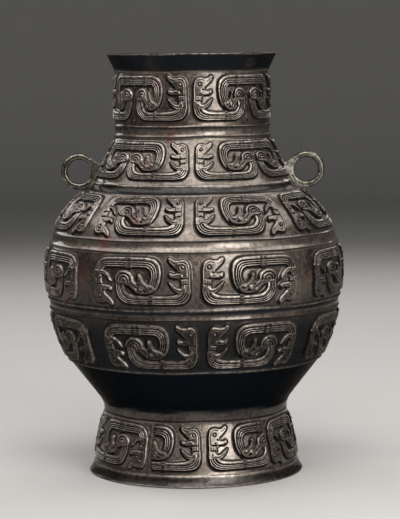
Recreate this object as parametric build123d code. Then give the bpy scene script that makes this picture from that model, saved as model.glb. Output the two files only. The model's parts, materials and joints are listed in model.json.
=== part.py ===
from build123d import *

import os
from math import acos, atan2, cos, hypot, pi, radians, sin, sqrt

# Bronze hu: a round wine vessel with a flared rim, six ornament fields parted by sunk channels,
# two upright rings on the shoulder and a hollow, flared foot that is cast apart.
# Millimetres, +Z up, origin on the axis at the floor. X runs through the two rings.

# Heights of the zones, stacked from the floor to the lip
foot_border_height = 8.8
foot_band_height = 45.1
plain_belly_height = 45.0
lower_band_height = 45.2
lower_channel_height = 8.3
middle_band_height = 47.2
upper_channel_height = 8.6
upper_band_height = 36.3
shoulder_channel_height = 6.3
shoulder_band_height = 39.7
neck_channel_height = 7.7
neck_band_height = 47.7
rim_height = 14.1

# Outer radii, and the steps between neighbouring zones
foot_radius = 92.5
foot_border_flare = 3.7
foot_border_hollow = 0.6
foot_band_bulge = 0.7
waist_radius = 79.2
waist_curve_radius = 20.0
belly_radius = 128.1
lower_belly_inset = 18.1
upper_belly_inset = 37.3
ridge_step = 1.4
shoulder_inset = 5.4
shoulder_hollow = 1.1
neck_radius = 67.2
neck_taper = 0.9
rim_radius = 72.8
rim_hollow = 0.6
channel_depth = 1.2

# Walls of the castings
body_wall = 4.0
neck_wall = 3.8
lip_thickness = 2.6
lip_bevel = 0.7
foot_wall = 4.2
foot_bevel = 0.7
bevel_limit = 0.4  # the most of a wall that a bevel may take

# The joint at the waist: spigot, base plate and seat flange
spigot_length = 8.0
spigot_inset = 2.2
spigot_wall = 3.0
base_plate_thickness = 4.0
ledge_width = 3.0
ledge_thickness = 3.0
seat_flange_thickness = 3.5
seat_flange_reach = 2.0
seam_leg = 2.6

# The shoulder rings
ring_hole_radius = 10.3
ring_thickness = 5.4
ring_width = 7.0
ring_outer_bevel = 1.6
ring_inner_bevel = 1.2
ring_seat_rise = 2.7
ring_sink = 0.9
root_leave_angle = 18.0
root_draw_in = 2.2
root_hollow = 0.9
tenon_radius = 3.6
tenon_clearance = 0.1
tenon_head_radius = 6.0
tenon_head_height = 2.0
solder_height = 1.3
solder_clearance = 0.1
solder_spread = 3.2
solder_slope = 25.0
solder_corner_round = 4.0

# Levels of the zone edges
foot_band_bottom = foot_border_height
waist_level = foot_band_bottom + foot_band_height
ridge_level = waist_level + plain_belly_height
lower_band_top = ridge_level + lower_band_height
middle_band_bottom = lower_band_top + lower_channel_height
middle_band_top = middle_band_bottom + middle_band_height
upper_band_bottom = middle_band_top + upper_channel_height
upper_band_top = upper_band_bottom + upper_band_height
shoulder_band_bottom = upper_band_top + shoulder_channel_height
shoulder_band_top = shoulder_band_bottom + shoulder_band_height
neck_band_bottom = shoulder_band_top + neck_channel_height
neck_band_top = neck_band_bottom + neck_band_height
lip_level = neck_band_top + rim_height
equator_level = (middle_band_bottom + middle_band_top) / 2

# Radii and levels that follow from the sizes above
ridge_radius = belly_radius - lower_belly_inset
upper_band_radius = belly_radius - upper_belly_inset
shoulder_radius = upper_band_radius - shoulder_inset
neck_top_radius = neck_radius - neck_taper
mouth_radius = neck_top_radius - neck_wall
spigot_radius = waist_radius - spigot_inset
spigot_end = waist_level - spigot_length
base_plate_radius = spigot_radius - spigot_wall
base_plate_top = spigot_end + base_plate_thickness
ledge_radius = base_plate_radius - ledge_width
ledge_top = base_plate_top + ledge_thickness
seat_flange_radius = base_plate_radius - seat_flange_reach
ring_outer_radius = ring_hole_radius + ring_thickness


def point(radius, level):
    """A point of a profile in the half plane through +X."""
    return Vector(radius, 0, level)


def outward(start, end):
    """The unit normal of a profile run that climbs from start to end, pointing away from the axis."""
    run = end - start
    return Vector(run.Z, 0, -run.X).normalized()


def bowed(start, end, bulge):
    """An arc that stands out from its chord by bulge, or is hollow where that is negative."""
    return ThreePointArc(start, (start + end) / 2 + outward(start, end) * bulge, end)


def limited(bevel, *walls):
    """A bevel or rounding that leaves part of every wall beside it standing."""
    return min(bevel, *(wall * bevel_limit for wall in walls))


def revolved(edges):
    """A full turn of a closed profile about the vessel's axis."""
    return revolve(make_face(edges), Axis.Z)


class BellyArc:
    """A quarter of the belly's curve: upright at the equator, and through one given end."""

    def __init__(self, end):
        drop = belly_radius - end.X
        rise = end.Z - equator_level
        self.radius = (drop**2 + rise**2) / (2 * drop)
        self.center = point(belly_radius - self.radius, equator_level)

    def at(self, level, depth=0.0):
        """The point at a level, on the surface or on the concentric curve that lies depth inside it."""
        height = level - equator_level
        reach = sqrt(self.radius**2 - height**2)
        return self.center + point(reach, height) * ((self.radius - depth) / self.radius)

    def edge(self, low, high, depth=0.0):
        """The arc between two levels."""
        return ThreePointArc(self.at(low, depth), self.at((low + high) / 2, depth), self.at(high, depth))


class WaistCurve:
    """The hollow curve at the waist, with the straight lower belly that leaves it for the ridge."""

    def __init__(self, ridge_foot):
        self.center = point(waist_radius + waist_curve_radius, waist_level)
        to_ridge = ridge_foot - self.center
        bearing = atan2(to_ridge.Z, to_ridge.X)
        self.leave_angle = bearing + acos(waist_curve_radius / hypot(to_ridge.X, to_ridge.Z))

    def at(self, share, depth=0.0):
        """The point a share of the way from the waist to where the straight run begins."""
        angle = pi + (self.leave_angle - pi) * share
        return self.center + point(cos(angle), sin(angle)) * (waist_curve_radius + depth)

    def edge(self, depth=0.0):
        """The hollow arc, on the surface or depth inside it."""
        return ThreePointArc(self.at(0, depth), self.at(0.5, depth), self.at(1, depth))


# Corner points that the outer and inner profiles share
ridge_foot = point(ridge_radius - ridge_step, ridge_level)
ridge_edge = point(ridge_radius, ridge_level)
upper_band_edge = point(upper_band_radius, upper_band_top)
shoulder_foot = point(shoulder_radius, shoulder_band_bottom)
shoulder_head = point(neck_radius, shoulder_band_top)
neck_foot = point(neck_radius, neck_band_bottom)
neck_head = point(neck_top_radius, neck_band_top)
lip_corner = limited(lip_bevel, lip_thickness)
lip_edge = point(rim_radius, lip_level - lip_corner)
lip_inside = point(rim_radius - lip_thickness, lip_level - lip_corner)
lower_arc = BellyArc(ridge_edge)
upper_arc = BellyArc(upper_band_edge)
waist_curve = WaistCurve(ridge_foot)


def outer_profile(grow=0.0):
    """The outside of the body from the waist to the lip, with its radii grown by a given amount."""
    edges = [
        waist_curve.edge(),
        Line(waist_curve.at(1), ridge_foot),
        Line(ridge_foot, ridge_edge),
        lower_arc.edge(ridge_level, lower_band_top),
        bowed(lower_arc.at(lower_band_top), lower_arc.at(middle_band_bottom), -channel_depth),
        lower_arc.edge(middle_band_bottom, equator_level),
        upper_arc.edge(equator_level, middle_band_top),
        bowed(upper_arc.at(middle_band_top), upper_arc.at(upper_band_bottom), -channel_depth),
        upper_arc.edge(upper_band_bottom, upper_band_top),
        bowed(upper_band_edge, shoulder_foot, -channel_depth),
        bowed(shoulder_foot, shoulder_head, -shoulder_hollow),
        bowed(shoulder_head, neck_foot, -channel_depth),
        Line(neck_foot, neck_head),
        bowed(neck_head, lip_edge, -rim_hollow),
    ]
    return [edge.moved(Pos(grow, 0, 0)) for edge in edges]


def inner_profile():
    """The inside of the body from the lip to the ledge that the base plate bears on."""
    waist_inside = waist_curve.at(0, body_wall)
    shoulder_in = outward(shoulder_foot, shoulder_head) * -body_wall
    shoulder_low = shoulder_foot + shoulder_in
    shoulder_run = shoulder_head - shoulder_foot
    neck_low = shoulder_low + shoulder_run * ((mouth_radius - shoulder_low.X) / shoulder_run.X)
    mouth_top = point(mouth_radius, neck_band_top)
    return [
        Line(lip_inside, mouth_top),
        Line(mouth_top, neck_low),
        Line(neck_low, shoulder_low),
        Line(shoulder_low, upper_arc.at(upper_band_top, body_wall)),
        upper_arc.edge(equator_level, upper_band_top, body_wall),
        lower_arc.edge(ridge_level, equator_level, body_wall),
        Line(lower_arc.at(ridge_level, body_wall), waist_curve.at(1, body_wall)),
        waist_curve.edge(body_wall),
        Line(waist_inside, point(waist_inside.X, ledge_top)),
    ]


def waist_profile():
    """The underside of the body: ledge, base plate rebate and spigot, back to the outer wall."""
    corners = [
        point(waist_radius - body_wall, ledge_top),
        point(ledge_radius, ledge_top),
        point(ledge_radius, base_plate_top),
        point(base_plate_radius, base_plate_top),
        point(base_plate_radius, spigot_end),
        point(spigot_radius, spigot_end),
        point(spigot_radius, waist_level),
        point(waist_radius, waist_level),
    ]
    return Polyline(*corners).edges()


def lip_profile():
    """The lip's narrow flat top with its two bevels."""
    return Polyline(
        lip_edge,
        point(lip_edge.X - lip_corner, lip_level),
        point(lip_inside.X + lip_corner, lip_level),
        lip_inside,
    ).edges()


def filled(profile, bottom, top):
    """The space between the axis and an open profile that climbs from bottom to top, as one solid."""
    closing = Polyline(top, point(0, top.Z), point(0, bottom.Z), bottom)
    return revolved(profile + closing.edges())


def filled_outside(grow=0.0):
    """The body's outside as one solid with no hollow, for seating pieces on it."""
    step = point(grow, 0)
    return filled(outer_profile(grow), point(waist_radius, waist_level) + step, lip_edge + step)


def filled_inside():
    """The space inside the body, from the ledge to the lip, as one solid."""
    return filled(inner_profile(), point(waist_radius - body_wall, ledge_top), lip_inside)


def ring_frame():
    """The frame of the right-hand ring: origin at its centre, +Z away from the shoulder."""
    normal = outward(shoulder_foot, shoulder_head)
    up_slope = (shoulder_head - shoulder_foot).normalized()
    seat = shoulder_foot + up_slope * ring_seat_rise
    return Plane(origin=seat + normal * (ring_outer_radius - ring_sink), x_dir=up_slope, z_dir=normal)


def tenon(radius):
    """A round bar from the ring's root to well inside the belly, in the ring's frame."""
    length = ring_thickness + body_wall * 2 + tenon_head_height
    return Pos(0, 0, -ring_hole_radius - ring_thickness / 2) * Cylinder(
        radius, length, align=(Align.CENTER, Align.CENTER, Align.MAX)
    )


def make_ring_blank():
    """The ring and its hollow-sided root, in the ring's frame and before it is seated."""
    half = ring_width / 2
    inner = limited(ring_inner_bevel, ring_thickness, ring_width)
    outer = limited(ring_outer_bevel, ring_thickness, ring_width)
    upper_half = [
        (ring_hole_radius, half - inner),
        (ring_hole_radius + inner, half),
        (ring_outer_radius - outer, half),
        (ring_outer_radius, half - outer),
    ]
    lower_half = [(across, -along) for across, along in reversed(upper_half)]
    section = make_face(Polyline(*upper_half, *lower_half, close=True))
    ring = revolve(section, Axis.Y)

    neck_half = ring_outer_radius * cos(radians(root_leave_angle))
    neck_level = -ring_outer_radius * sin(radians(root_leave_angle))
    seat_half = ring_outer_radius - root_draw_in
    seat_level = -ring_outer_radius + ring_sink - channel_depth
    deep_level = seat_level - body_wall
    right_side = ThreePointArc(
        (neck_half, 0, neck_level),
        ((neck_half + seat_half) / 2 - root_hollow, 0, (neck_level + seat_level) / 2),
        (seat_half, 0, seat_level),
    )
    left_side = mirror(right_side, Plane.YZ)
    closing = [
        Polyline((seat_half, 0, seat_level), (seat_half, 0, deep_level), (-seat_half, 0, deep_level),
                 (-seat_half, 0, seat_level)),
        Line((-neck_half, 0, neck_level), (neck_half, 0, neck_level)),
    ]
    outline = make_face([right_side, left_side] + [edge for part in closing for edge in part.edges()])
    root = extrude(outline, ring_width / 2, both=True)
    hole = Rot(90, 0, 0) * Cylinder(ring_hole_radius + ring_thickness / 2, ring_width)
    return ring + (root - hole)


def make_handle():
    """The right-hand ring, seated on the shoulder, with its tenon and the head inside the belly."""
    frame = ring_frame()
    seated = frame * make_ring_blank() - filled_outside()
    shank = frame * tenon(tenon_radius) & (filled_outside() - filled_inside())
    seat_depth = ring_outer_radius - ring_sink + body_wall
    head = Pos(0, 0, -seat_depth - tenon_head_height) * Cylinder(
        tenon_head_radius, tenon_head_height + body_wall, align=(Align.CENTER, Align.CENTER, Align.MIN)
    )
    return seated + shank + (frame * head & filled_inside())


def make_handle_solder(handle):
    """The run of solder round the right-hand root, lying on the shoulder and in the channel below it."""
    length = 2 * (ring_outer_radius - root_draw_in + solder_spread)
    width = ring_width + 2 * solder_spread
    footprint = RectangleRounded(length, width, limited(solder_corner_round, width))
    depth = ring_outer_radius - ring_sink + 2 * channel_depth
    mound = Pos(0, 0, -depth) * extrude(footprint, 3 * channel_depth + solder_height, taper=solder_slope)
    skin = filled_outside(solder_height) - filled_outside(solder_clearance)
    return (ring_frame() * mound & skin) - handle


def make_vessel_body():
    """The main casting, pierced for the two tenons."""
    body = revolved(outer_profile() + lip_profile() + inner_profile() + waist_profile())
    hole = ring_frame() * tenon(tenon_radius + tenon_clearance)
    return body - hole - mirror(hole, Plane.YZ)


def make_base_plate():
    """The disc that closes the belly, let into the spigot from below."""
    seat = (Align.CENTER, Align.CENTER, Align.MIN)
    return Pos(0, 0, spigot_end) * Cylinder(base_plate_radius, base_plate_thickness, align=seat)


def make_foot_ring():
    """The flared foot: socket for the spigot, seat flange under the base plate, flat rest below."""
    band_foot = point(foot_radius - foot_border_flare, foot_band_bottom)
    waist_edge = point(waist_radius, waist_level)
    slope = (waist_edge.X - band_foot.X) / (waist_edge.Z - band_foot.Z)
    flange_bottom = spigot_end - seat_flange_thickness
    inner_top = point(waist_radius - foot_wall - slope * (waist_level - flange_bottom), flange_bottom)
    inner_low = point(band_foot.X - foot_wall, foot_band_bottom)
    bevel = limited(foot_bevel, foot_wall)
    outer_edge = point(foot_radius, bevel)
    rest = [point(foot_radius - foot_wall, bevel), point(foot_radius - foot_wall + bevel, 0),
            point(foot_radius - bevel, 0)]
    socket = Polyline(waist_edge, point(spigot_radius, waist_level), point(spigot_radius, spigot_end),
                      point(seat_flange_radius, spigot_end), point(seat_flange_radius, flange_bottom),
                      inner_top, inner_low, *rest, outer_edge)
    rim = [bowed(outer_edge, band_foot, -foot_border_hollow),
           bowed(band_foot, waist_edge, foot_band_bulge)]
    return revolved(socket.edges() + rim)


def make_seam(corner, level_step):
    """A solder bead in an inside corner, on the flat face and the upright wall beside it."""
    on_flat = corner - point(seam_leg, 0)
    on_wall = corner + point(0, level_step * seam_leg)
    return revolved(Polyline(corner, on_flat, on_wall, close=True).edges())


def build_parts():
    """Every piece of the vessel, by its node's name."""
    handle = make_handle()
    solder = make_handle_solder(handle)
    return {
        "vessel_body": make_vessel_body(),
        "base_plate": make_base_plate(),
        "foot_ring": make_foot_ring(),
        "ring_handle_right": handle,
        "ring_handle_left": mirror(handle, Plane.YZ),
        "handle_solder_right": solder,
        "handle_solder_left": mirror(solder, Plane.YZ),
        "base_solder_seam": make_seam(point(ledge_radius, base_plate_top), 1),
        "foot_solder_seam": make_seam(point(seat_flange_radius, spigot_end), -1),
    }


os.makedirs("parts", exist_ok=True)
for node, shape in build_parts().items():
    export_step(shape, f"parts/{node}.step")
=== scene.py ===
"""Looks of a bronze hu: a round wine vessel with cast dragon friezes, dressed over its CAD frame.

Shapes are drawn flat, in millimetres, as sheets of (turn or length, length up the profile, height).
Geometry Nodes repeat them and wrap them round the vessel's profile, in the frame's metres.
"""

import json
import logging
import math
from dataclasses import dataclass, replace
from enum import Enum
from typing import Any, Sequence

import bmesh
import bpy
import numpy as np
from bpy.types import Material, Mesh, Node, NodeSocket, NodeTree, Object
from mathutils import Matrix, Vector

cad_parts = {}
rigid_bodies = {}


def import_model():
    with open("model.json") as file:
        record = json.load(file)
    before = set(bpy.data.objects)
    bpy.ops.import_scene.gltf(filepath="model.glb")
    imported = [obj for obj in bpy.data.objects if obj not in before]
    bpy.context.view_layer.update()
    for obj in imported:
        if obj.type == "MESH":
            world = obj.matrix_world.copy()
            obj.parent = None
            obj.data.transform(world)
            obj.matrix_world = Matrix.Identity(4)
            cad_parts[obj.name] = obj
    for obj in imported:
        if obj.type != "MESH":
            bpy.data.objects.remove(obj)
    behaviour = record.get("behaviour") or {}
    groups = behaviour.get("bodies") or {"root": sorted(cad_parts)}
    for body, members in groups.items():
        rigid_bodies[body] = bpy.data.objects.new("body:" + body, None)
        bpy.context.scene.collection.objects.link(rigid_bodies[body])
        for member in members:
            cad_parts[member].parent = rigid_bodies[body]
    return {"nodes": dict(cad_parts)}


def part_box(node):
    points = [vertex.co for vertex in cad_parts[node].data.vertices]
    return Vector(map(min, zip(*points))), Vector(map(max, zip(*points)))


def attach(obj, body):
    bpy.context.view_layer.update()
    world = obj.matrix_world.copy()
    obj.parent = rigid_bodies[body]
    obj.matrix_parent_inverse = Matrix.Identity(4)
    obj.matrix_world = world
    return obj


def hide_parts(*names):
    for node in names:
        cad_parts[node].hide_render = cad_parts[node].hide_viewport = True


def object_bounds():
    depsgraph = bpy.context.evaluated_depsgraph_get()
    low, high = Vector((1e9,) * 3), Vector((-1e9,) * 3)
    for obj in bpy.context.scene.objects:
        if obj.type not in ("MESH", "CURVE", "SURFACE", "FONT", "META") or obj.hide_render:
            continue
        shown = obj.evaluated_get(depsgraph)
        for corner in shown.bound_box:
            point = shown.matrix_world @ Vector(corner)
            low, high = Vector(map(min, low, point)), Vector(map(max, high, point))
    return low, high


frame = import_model()
cad_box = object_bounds()

LOG = logging.getLogger("bronze_hu")
MM = 0.001
TURN = 2 * math.pi
QUARTER = 90.0
TINY = 1e-9
ROOT = "root"
# How far the fields of the bands lie below their borders, in millimetres.
FIELD_DEPTH = 0.7

Span = tuple[float, float]
Points = Sequence[Span]
Color = tuple[float, float, float, float]
Tones = Sequence[tuple[int, float, float, float]]


class Slot(Enum):
    """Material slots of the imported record."""

    DARK_BRONZE = "dark_bronze"
    OLIVE_BRONZE = "olive_bronze"
    OLD_SOLDER = "old_solder"


class Hand(Enum):
    """Which way a dragon unit runs from the axis between two heads."""

    RIGHT = 1.0
    LEFT = -1.0


class StainAndPaintedLight(Enum):
    """Vertex values that the finishes read: dirt, which also holds painted shadow; wear, which also holds
    painted highlight; and painted shade.
    """

    DIRT = "dirt"
    WEAR = "wear"
    SHADE = "shade"


# Flat drawing


def flowing(points: Points, steps: int, closed: bool = False) -> np.ndarray:
    """Points of a smooth curve through a few given ones, by centripetal spans that don't overshoot.

    Args:
        points: the points to pass through, of any dimension.
        steps: how many points each span gets.
        closed: whether the curve runs back to its start.

    Returns:
        An array with one row for each point of the curve.
    """
    given = np.asarray(points, float)
    if closed:
        knots = np.vstack([given[-1:], given, given[:2]])
    else:
        knots = np.vstack([2 * given[0] - given[1], given, 2 * given[-1] - given[-2]])
    share = (np.arange(steps) / steps)[:, None]
    rows = []
    for before, start, end, after in zip(knots, knots[1:], knots[2:], knots[3:]):
        gap_before, gap, gap_after = (
            max(math.sqrt(np.linalg.norm(b - a)), TINY)
            for a, b in ((before, start), (start, end), (end, after))
        )
        run = (end - start) / gap
        leave = ((start - before) / gap_before - (end - before) / (gap_before + gap) + run) * gap
        arrive = (run - (after - start) / (gap + gap_after) + (after - end) / gap_after) * gap
        rows.append(
            (2 * share**3 - 3 * share**2 + 1) * start + (share**3 - 2 * share**2 + share) * leave
            + (3 * share**2 - 2 * share**3) * end + (share**3 - share**2) * arrive
        )
    return np.vstack(rows if closed else rows + [given[-1:]])


def smooth_share(value: np.ndarray) -> np.ndarray:
    """A smooth step from 0 to 1 as value goes from 0 to 1."""
    held = np.clip(value, 0, 1)
    return held * held * (3 - 2 * held)


def bell(value: np.ndarray) -> np.ndarray:
    """A bell curve that is 1 at 0 and falls off over about 1."""
    return np.exp(-(value**2))


def distance_to_path(spots: np.ndarray, path: np.ndarray) -> np.ndarray:
    """The distance from each spot to the nearest run of a path.

    Args:
        spots: the places, one row each.
        path: the path's points.

    Returns:
        The distances.
    """
    start, run = path[:-1], np.diff(path, axis=0)
    length = np.maximum((run**2).sum(axis=1), TINY)
    away = spots[:, None, :] - start[None]
    share = np.clip((away * run).sum(axis=2) / length, 0, 1)
    return np.linalg.norm(away - share[..., None] * run, axis=2).min(axis=1)


def inside_outline(spots: np.ndarray, outline: np.ndarray) -> np.ndarray:
    """Whether each spot lies inside a closed outline, by counting crossings.

    Args:
        spots: the places, one row each.
        outline: the outline's points, the first one again at the end.

    Returns:
        True for each spot inside.
    """
    low, high = outline[:-1], outline[1:]
    x, y = spots[:, :1], spots[:, 1:]
    spans = (low[:, 1] > y) != (high[:, 1] > y)
    rise = np.where(high[:, 1] == low[:, 1], TINY, high[:, 1] - low[:, 1])
    crossing = low[:, 0] + (y - low[:, 1]) / rise * (high[:, 0] - low[:, 0])
    return (spans & (x < crossing)).sum(axis=1) % 2 == 1


def waves(turn: np.ndarray, along: np.ndarray, tones: Tones) -> np.ndarray:
    """A sum of slow waves round and along a casting.

    Args:
        turn: the turn of each point, in radians.
        along: the length along the profile at each point, in millimetres.
        tones: rows of (waves round, wave length along, phase, height).

    Returns:
        The height at each point, in millimetres.
    """
    return sum(h * np.sin(n * turn + TURN * along / w + p) for n, w, p, h in tones)


@dataclass
class Sheet:
    """A flat mesh with a value of dirt and of wear at each of its points, which also hold painted shadow and
    painted highlight.
    """

    spots: np.ndarray
    faces: np.ndarray
    dirt: np.ndarray
    wear: np.ndarray

    @classmethod
    def joined(cls, sheets: Sequence["Sheet"]) -> "Sheet":
        """One sheet that holds several, each as its own island.

        Args:
            sheets: the sheets.

        Returns:
            The joined sheet.
        """
        starts = np.cumsum([0] + [len(s.spots) for s in sheets[:-1]])
        return cls(
            np.vstack([s.spots for s in sheets]),
            np.vstack([s.faces + start for s, start in zip(sheets, starts)]),
            np.concatenate([s.dirt for s in sheets]),
            np.concatenate([s.wear for s in sheets]),
        )

    @classmethod
    def grid(cls, spots: np.ndarray, dirt: np.ndarray, wear: np.ndarray) -> "Sheet":
        """A sheet from a grid of points, whose rows run across and whose columns run up.

        Args:
            spots: an array of rows x columns x 3.
            dirt: the dirt, painted shadow included, at each point, as rows x columns.
            wear: the wear, painted highlight included, at each point, as rows x columns.

        Returns:
            The sheet, its faces turned towards +Z where rows run along +X and columns along +Y.
        """
        rows, columns = spots.shape[:2]
        index = np.arange(rows * columns).reshape(rows, columns)
        corners = (index[:-1, :-1], index[1:, :-1], index[1:, 1:], index[:-1, 1:])
        faces = np.stack([c.ravel() for c in corners], axis=1)
        return cls(spots.reshape(-1, 3), faces, dirt.ravel(), wear.ravel())

    def kept(self, keep: np.ndarray) -> "Sheet":
        """The sheet with only some of its faces, and the points that those need.

        Args:
            keep: True for each face that stays.

        Returns:
            The smaller sheet.
        """
        faces = self.faces[keep]
        used, index = np.unique(faces, return_inverse=True)
        return Sheet(self.spots[used], index.reshape(faces.shape), self.dirt[used], self.wear[used])

    def turned_about(self, center: Span) -> "Sheet":
        """The sheet after half a turn in its own plane."""
        spots = self.spots * (-1, -1, 1) + (2 * center[0], 2 * center[1], 0)
        return Sheet(spots, self.faces, self.dirt, self.wear)

    def mesh(self, name: str) -> Mesh:
        """A Blender mesh of the sheet, with its dirt and wear, painted shadow and highlight among them, as
        point attributes.

        Args:
            name: the mesh's name.

        Returns:
            The mesh.
        """
        made = bpy.data.meshes.new(name)
        made.from_pydata(self.spots, [], self.faces.tolist())
        for stain, values in ((StainAndPaintedLight.DIRT, self.dirt), (StainAndPaintedLight.WEAR, self.wear)):
            paint(made, stain, values)
        return made


def paint(mesh: Mesh, stain: StainAndPaintedLight, values: np.ndarray) -> None:
    """Stores one layer of stains and painted light on the points of a mesh."""
    layer = mesh.attributes.get(stain.value) or mesh.attributes.new(stain.value, "FLOAT", "POINT")
    layer.data.foreach_set("value", np.asarray(values, np.float32))


def painted(mesh: Mesh, stain: StainAndPaintedLight) -> np.ndarray:
    """The values of one layer of stains and painted light on the points of a mesh.

    Args:
        mesh: the mesh.
        stain: which layer.

    Returns:
        One value for each point.
    """
    values = np.empty(len(mesh.vertices), np.float32)
    mesh.attributes[stain.value].data.foreach_get("value", values)
    return values.astype(float)


def linked(name: str, data: Any) -> Object:
    """A new object in the scene that holds the given data.

    Args:
        name: the object's name.
        data: a mesh, curve, lamp or camera.

    Returns:
        The object.
    """
    made = bpy.data.objects.new(name, data)
    bpy.context.scene.collection.objects.link(made)
    return made


def triples(items: Any, name: str) -> np.ndarray:
    """A property with three parts of a mesh's points or faces, one row for each.

    Args:
        items: the mesh's vertices or polygons.
        name: the property's name.

    Returns:
        An array of three columns.
    """
    values = np.empty(len(items) * 3, np.float32)
    items.foreach_get(name, values)
    return values.reshape(-1, 3).astype(float)


# The turned profile


@dataclass(frozen=True)
class VesselSizes:
    """Levels and radii of the castings, in millimetres, as the CAD frame has them."""

    waist_level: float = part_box("foot_ring")[1].z / MM
    spigot_end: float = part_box("vessel_body")[0].z / MM
    lip_level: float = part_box("vessel_body")[1].z / MM
    belly_radius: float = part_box("vessel_body")[1].x / MM
    foot_radius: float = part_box("foot_ring")[1].x / MM
    plate_top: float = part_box("base_plate")[1].z / MM
    plate_radius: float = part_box("base_plate")[1].x / MM
    ridge_level: float = 98.9
    lower_band_top: float = 144.1
    middle_band_bottom: float = 152.4
    middle_band_top: float = 199.6
    upper_band_bottom: float = 208.2
    upper_band_top: float = 244.5
    shoulder_bottom: float = 250.8
    shoulder_top: float = 290.5
    neck_bottom: float = 298.2
    neck_top: float = 345.9
    foot_band_bottom: float = 8.8
    waist_radius: float = 79.2
    waist_curve: float = 20.0
    # How far above the waist the painted shade of the lower belly is weaker, leaving a bright strip, in
    # millimetres.
    bright_waist: float = 7.4
    ridge_radius: float = 110.0
    ridge_step: float = 1.4
    upper_band_radius: float = 90.8
    shoulder_radius: float = 85.4
    neck_radius: float = 67.2
    neck_top_radius: float = 66.3
    rim_radius: float = 72.8
    mouth_radius: float = 62.5
    foot_band_radius: float = 88.8
    spigot_radius: float = 77.0
    ledge_radius: float = 71.0
    flange_radius: float = 72.0
    wall: float = 4.0
    foot_wall: float = 4.2
    flange: float = 3.5
    ledge: float = 3.0
    lip: float = 2.6
    bevel: float = 0.7
    channel_depth: float = 1.2
    shoulder_hollow: float = 1.1
    rim_hollow: float = 0.25
    foot_bulge: float = 0.7
    foot_hollow: float = 0.6

    @property
    def equator(self) -> float:
        """The level of the widest place."""
        return (self.middle_band_bottom + self.middle_band_top) / 2


def bowed(start: Sequence[float], end: Sequence[float], bulge: float, count: int) -> np.ndarray:
    """Points of an arc that stands out from its chord by bulge, away from the axis on a climbing run.

    Args:
        start: the arc's first point.
        end: its last point.
        bulge: how far it stands out, negative for a hollow.
        count: how many points.

    Returns:
        An array of (radius, level).
    """
    a, b = np.asarray(start, float), np.asarray(end, float)
    chord = b - a
    half = float(np.linalg.norm(chord)) / 2
    share = np.linspace(-1, 1, count)[:, None]
    line = (a + b) / 2 + chord / 2 * share
    if bulge == 0:
        return line
    radius = (half**2 + bulge**2) / (2 * abs(bulge))
    rise = np.sqrt(radius**2 - (half * share) ** 2) - (radius - abs(bulge))
    normal = np.array([chord[1], -chord[0]]) / (2 * half)
    return line + normal * rise * math.copysign(1, bulge)


class TurnedProfile:
    """A profile of a casting in the half plane (radius, level), drawn zone by zone in millimetres."""

    zone_points = 41
    edge_steps = (0.45, 1.1, 1.8)
    least_run = 7.2
    digits = 4

    def __init__(self, name: str, last_outer: str, painted_shade_zones: dict[str, float] | None = None,
                 bright_below: float = 0.0) -> None:
        """Starts an empty profile.

        Args:
            name: the profile's name.
            last_outer: the zone with which the outside ends.
            painted_shade_zones: how much painted shade some zones of the outside get, from 0 to 1.
            bright_below: the level below which the painted shade is about half as dark.
        """
        self.name = name
        self.last_outer = last_outer
        self.painted_shade_zones = painted_shade_zones or {}
        self.bright_below = bright_below
        self.points = np.empty((0, 2))
        self.zones: dict[str, tuple[int, int]] = {}

    def add(self, zone: str, run: np.ndarray) -> None:
        """Adds a zone, whose first point is the last zone's end.

        Args:
            zone: the zone's name.
            run: its points.
        """
        start = max(len(self.points) - 1, 0)
        self.points = np.vstack([self.points, run[1:] if len(self.points) else run])
        self.zones[zone] = (start, len(self.points) - 1)

    def add_bow(self, zone: str, start: Sequence[float], end: Sequence[float], bulge: float = 0.0) -> None:
        """Adds a zone that is an arc, or a straight run where bulge is nothing."""
        self.add(zone, bowed(start, end, bulge, self.zone_points))

    @property
    def lengths(self) -> np.ndarray:
        """The length along the profile at each of its points."""
        steps = np.linalg.norm(np.diff(self.points, axis=0), axis=1)
        return np.concatenate([[0], np.cumsum(steps)])

    def span(self, zone: str) -> Span:
        """The lengths at which a zone begins and ends."""
        start, end = self.zones[zone]
        return self.lengths[start], self.lengths[end]

    def stations(self, spacing: dict[str, float]) -> np.ndarray:
        """Lengths at which a sheet has its rows: close at the zones' edges, wider between them.

        Args:
            spacing: the distance between rows in each zone.

        Returns:
            The lengths, in order.
        """
        rows = []
        for zone in self.zones:
            start, end = self.span(zone)
            steps = np.linspace(start, end, max(int(round((end - start) / spacing[zone])), 1) + 1)
            near = [s for step in self.edge_steps for s in (start + step, end - step)]
            inner = [s for s in near if start < s < end and end - start > self.least_run]
            clear = [s for s in steps[1:-1] if all(abs(s - n) > self.edge_steps[0] for n in inner)]
            rows += [start, *inner, *clear]
        rows.append(self.lengths[-1])
        return np.unique(np.round(rows, self.digits))

    def lean(self, lengths: np.ndarray) -> np.ndarray:
        """How far the surface faces up (positive) or down at some lengths, as its normal's Z.

        Args:
            lengths: lengths along the profile.

        Returns:
            The lean at each length.
        """
        runs = np.diff(self.points, axis=0)
        down = -runs[:, 0] / np.maximum(np.linalg.norm(runs, axis=1), TINY)
        middles = (self.lengths[:-1] + self.lengths[1:]) / 2
        return np.interp(lengths, middles, down)

    def outer_lengths(self, spots: np.ndarray) -> np.ndarray:
        """The lengths along the outside at the levels of some spots, which are in metres."""
        end = self.zones[self.last_outer][1] + 1
        return np.interp(spots[:, 2] / MM, self.points[:end, 1], self.lengths[:end])

    def curve(self) -> Object:
        """The profile as a curve object in the XZ plane, in metres, for the wrapping tree.

        Returns:
            The curve object.
        """
        data = bpy.data.curves.new(self.name, "CURVE")
        data.dimensions = "3D"
        spline = data.splines.new("POLY")
        spline.points.add(len(self.points) - 1)
        rows = np.zeros((len(self.points), 4))
        rows[:, 0], rows[:, 2], rows[:, 3] = self.points[:, 0] * MM, self.points[:, 1] * MM, 1
        spline.points.foreach_set("co", rows.ravel())
        return linked(self.name, data)


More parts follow.
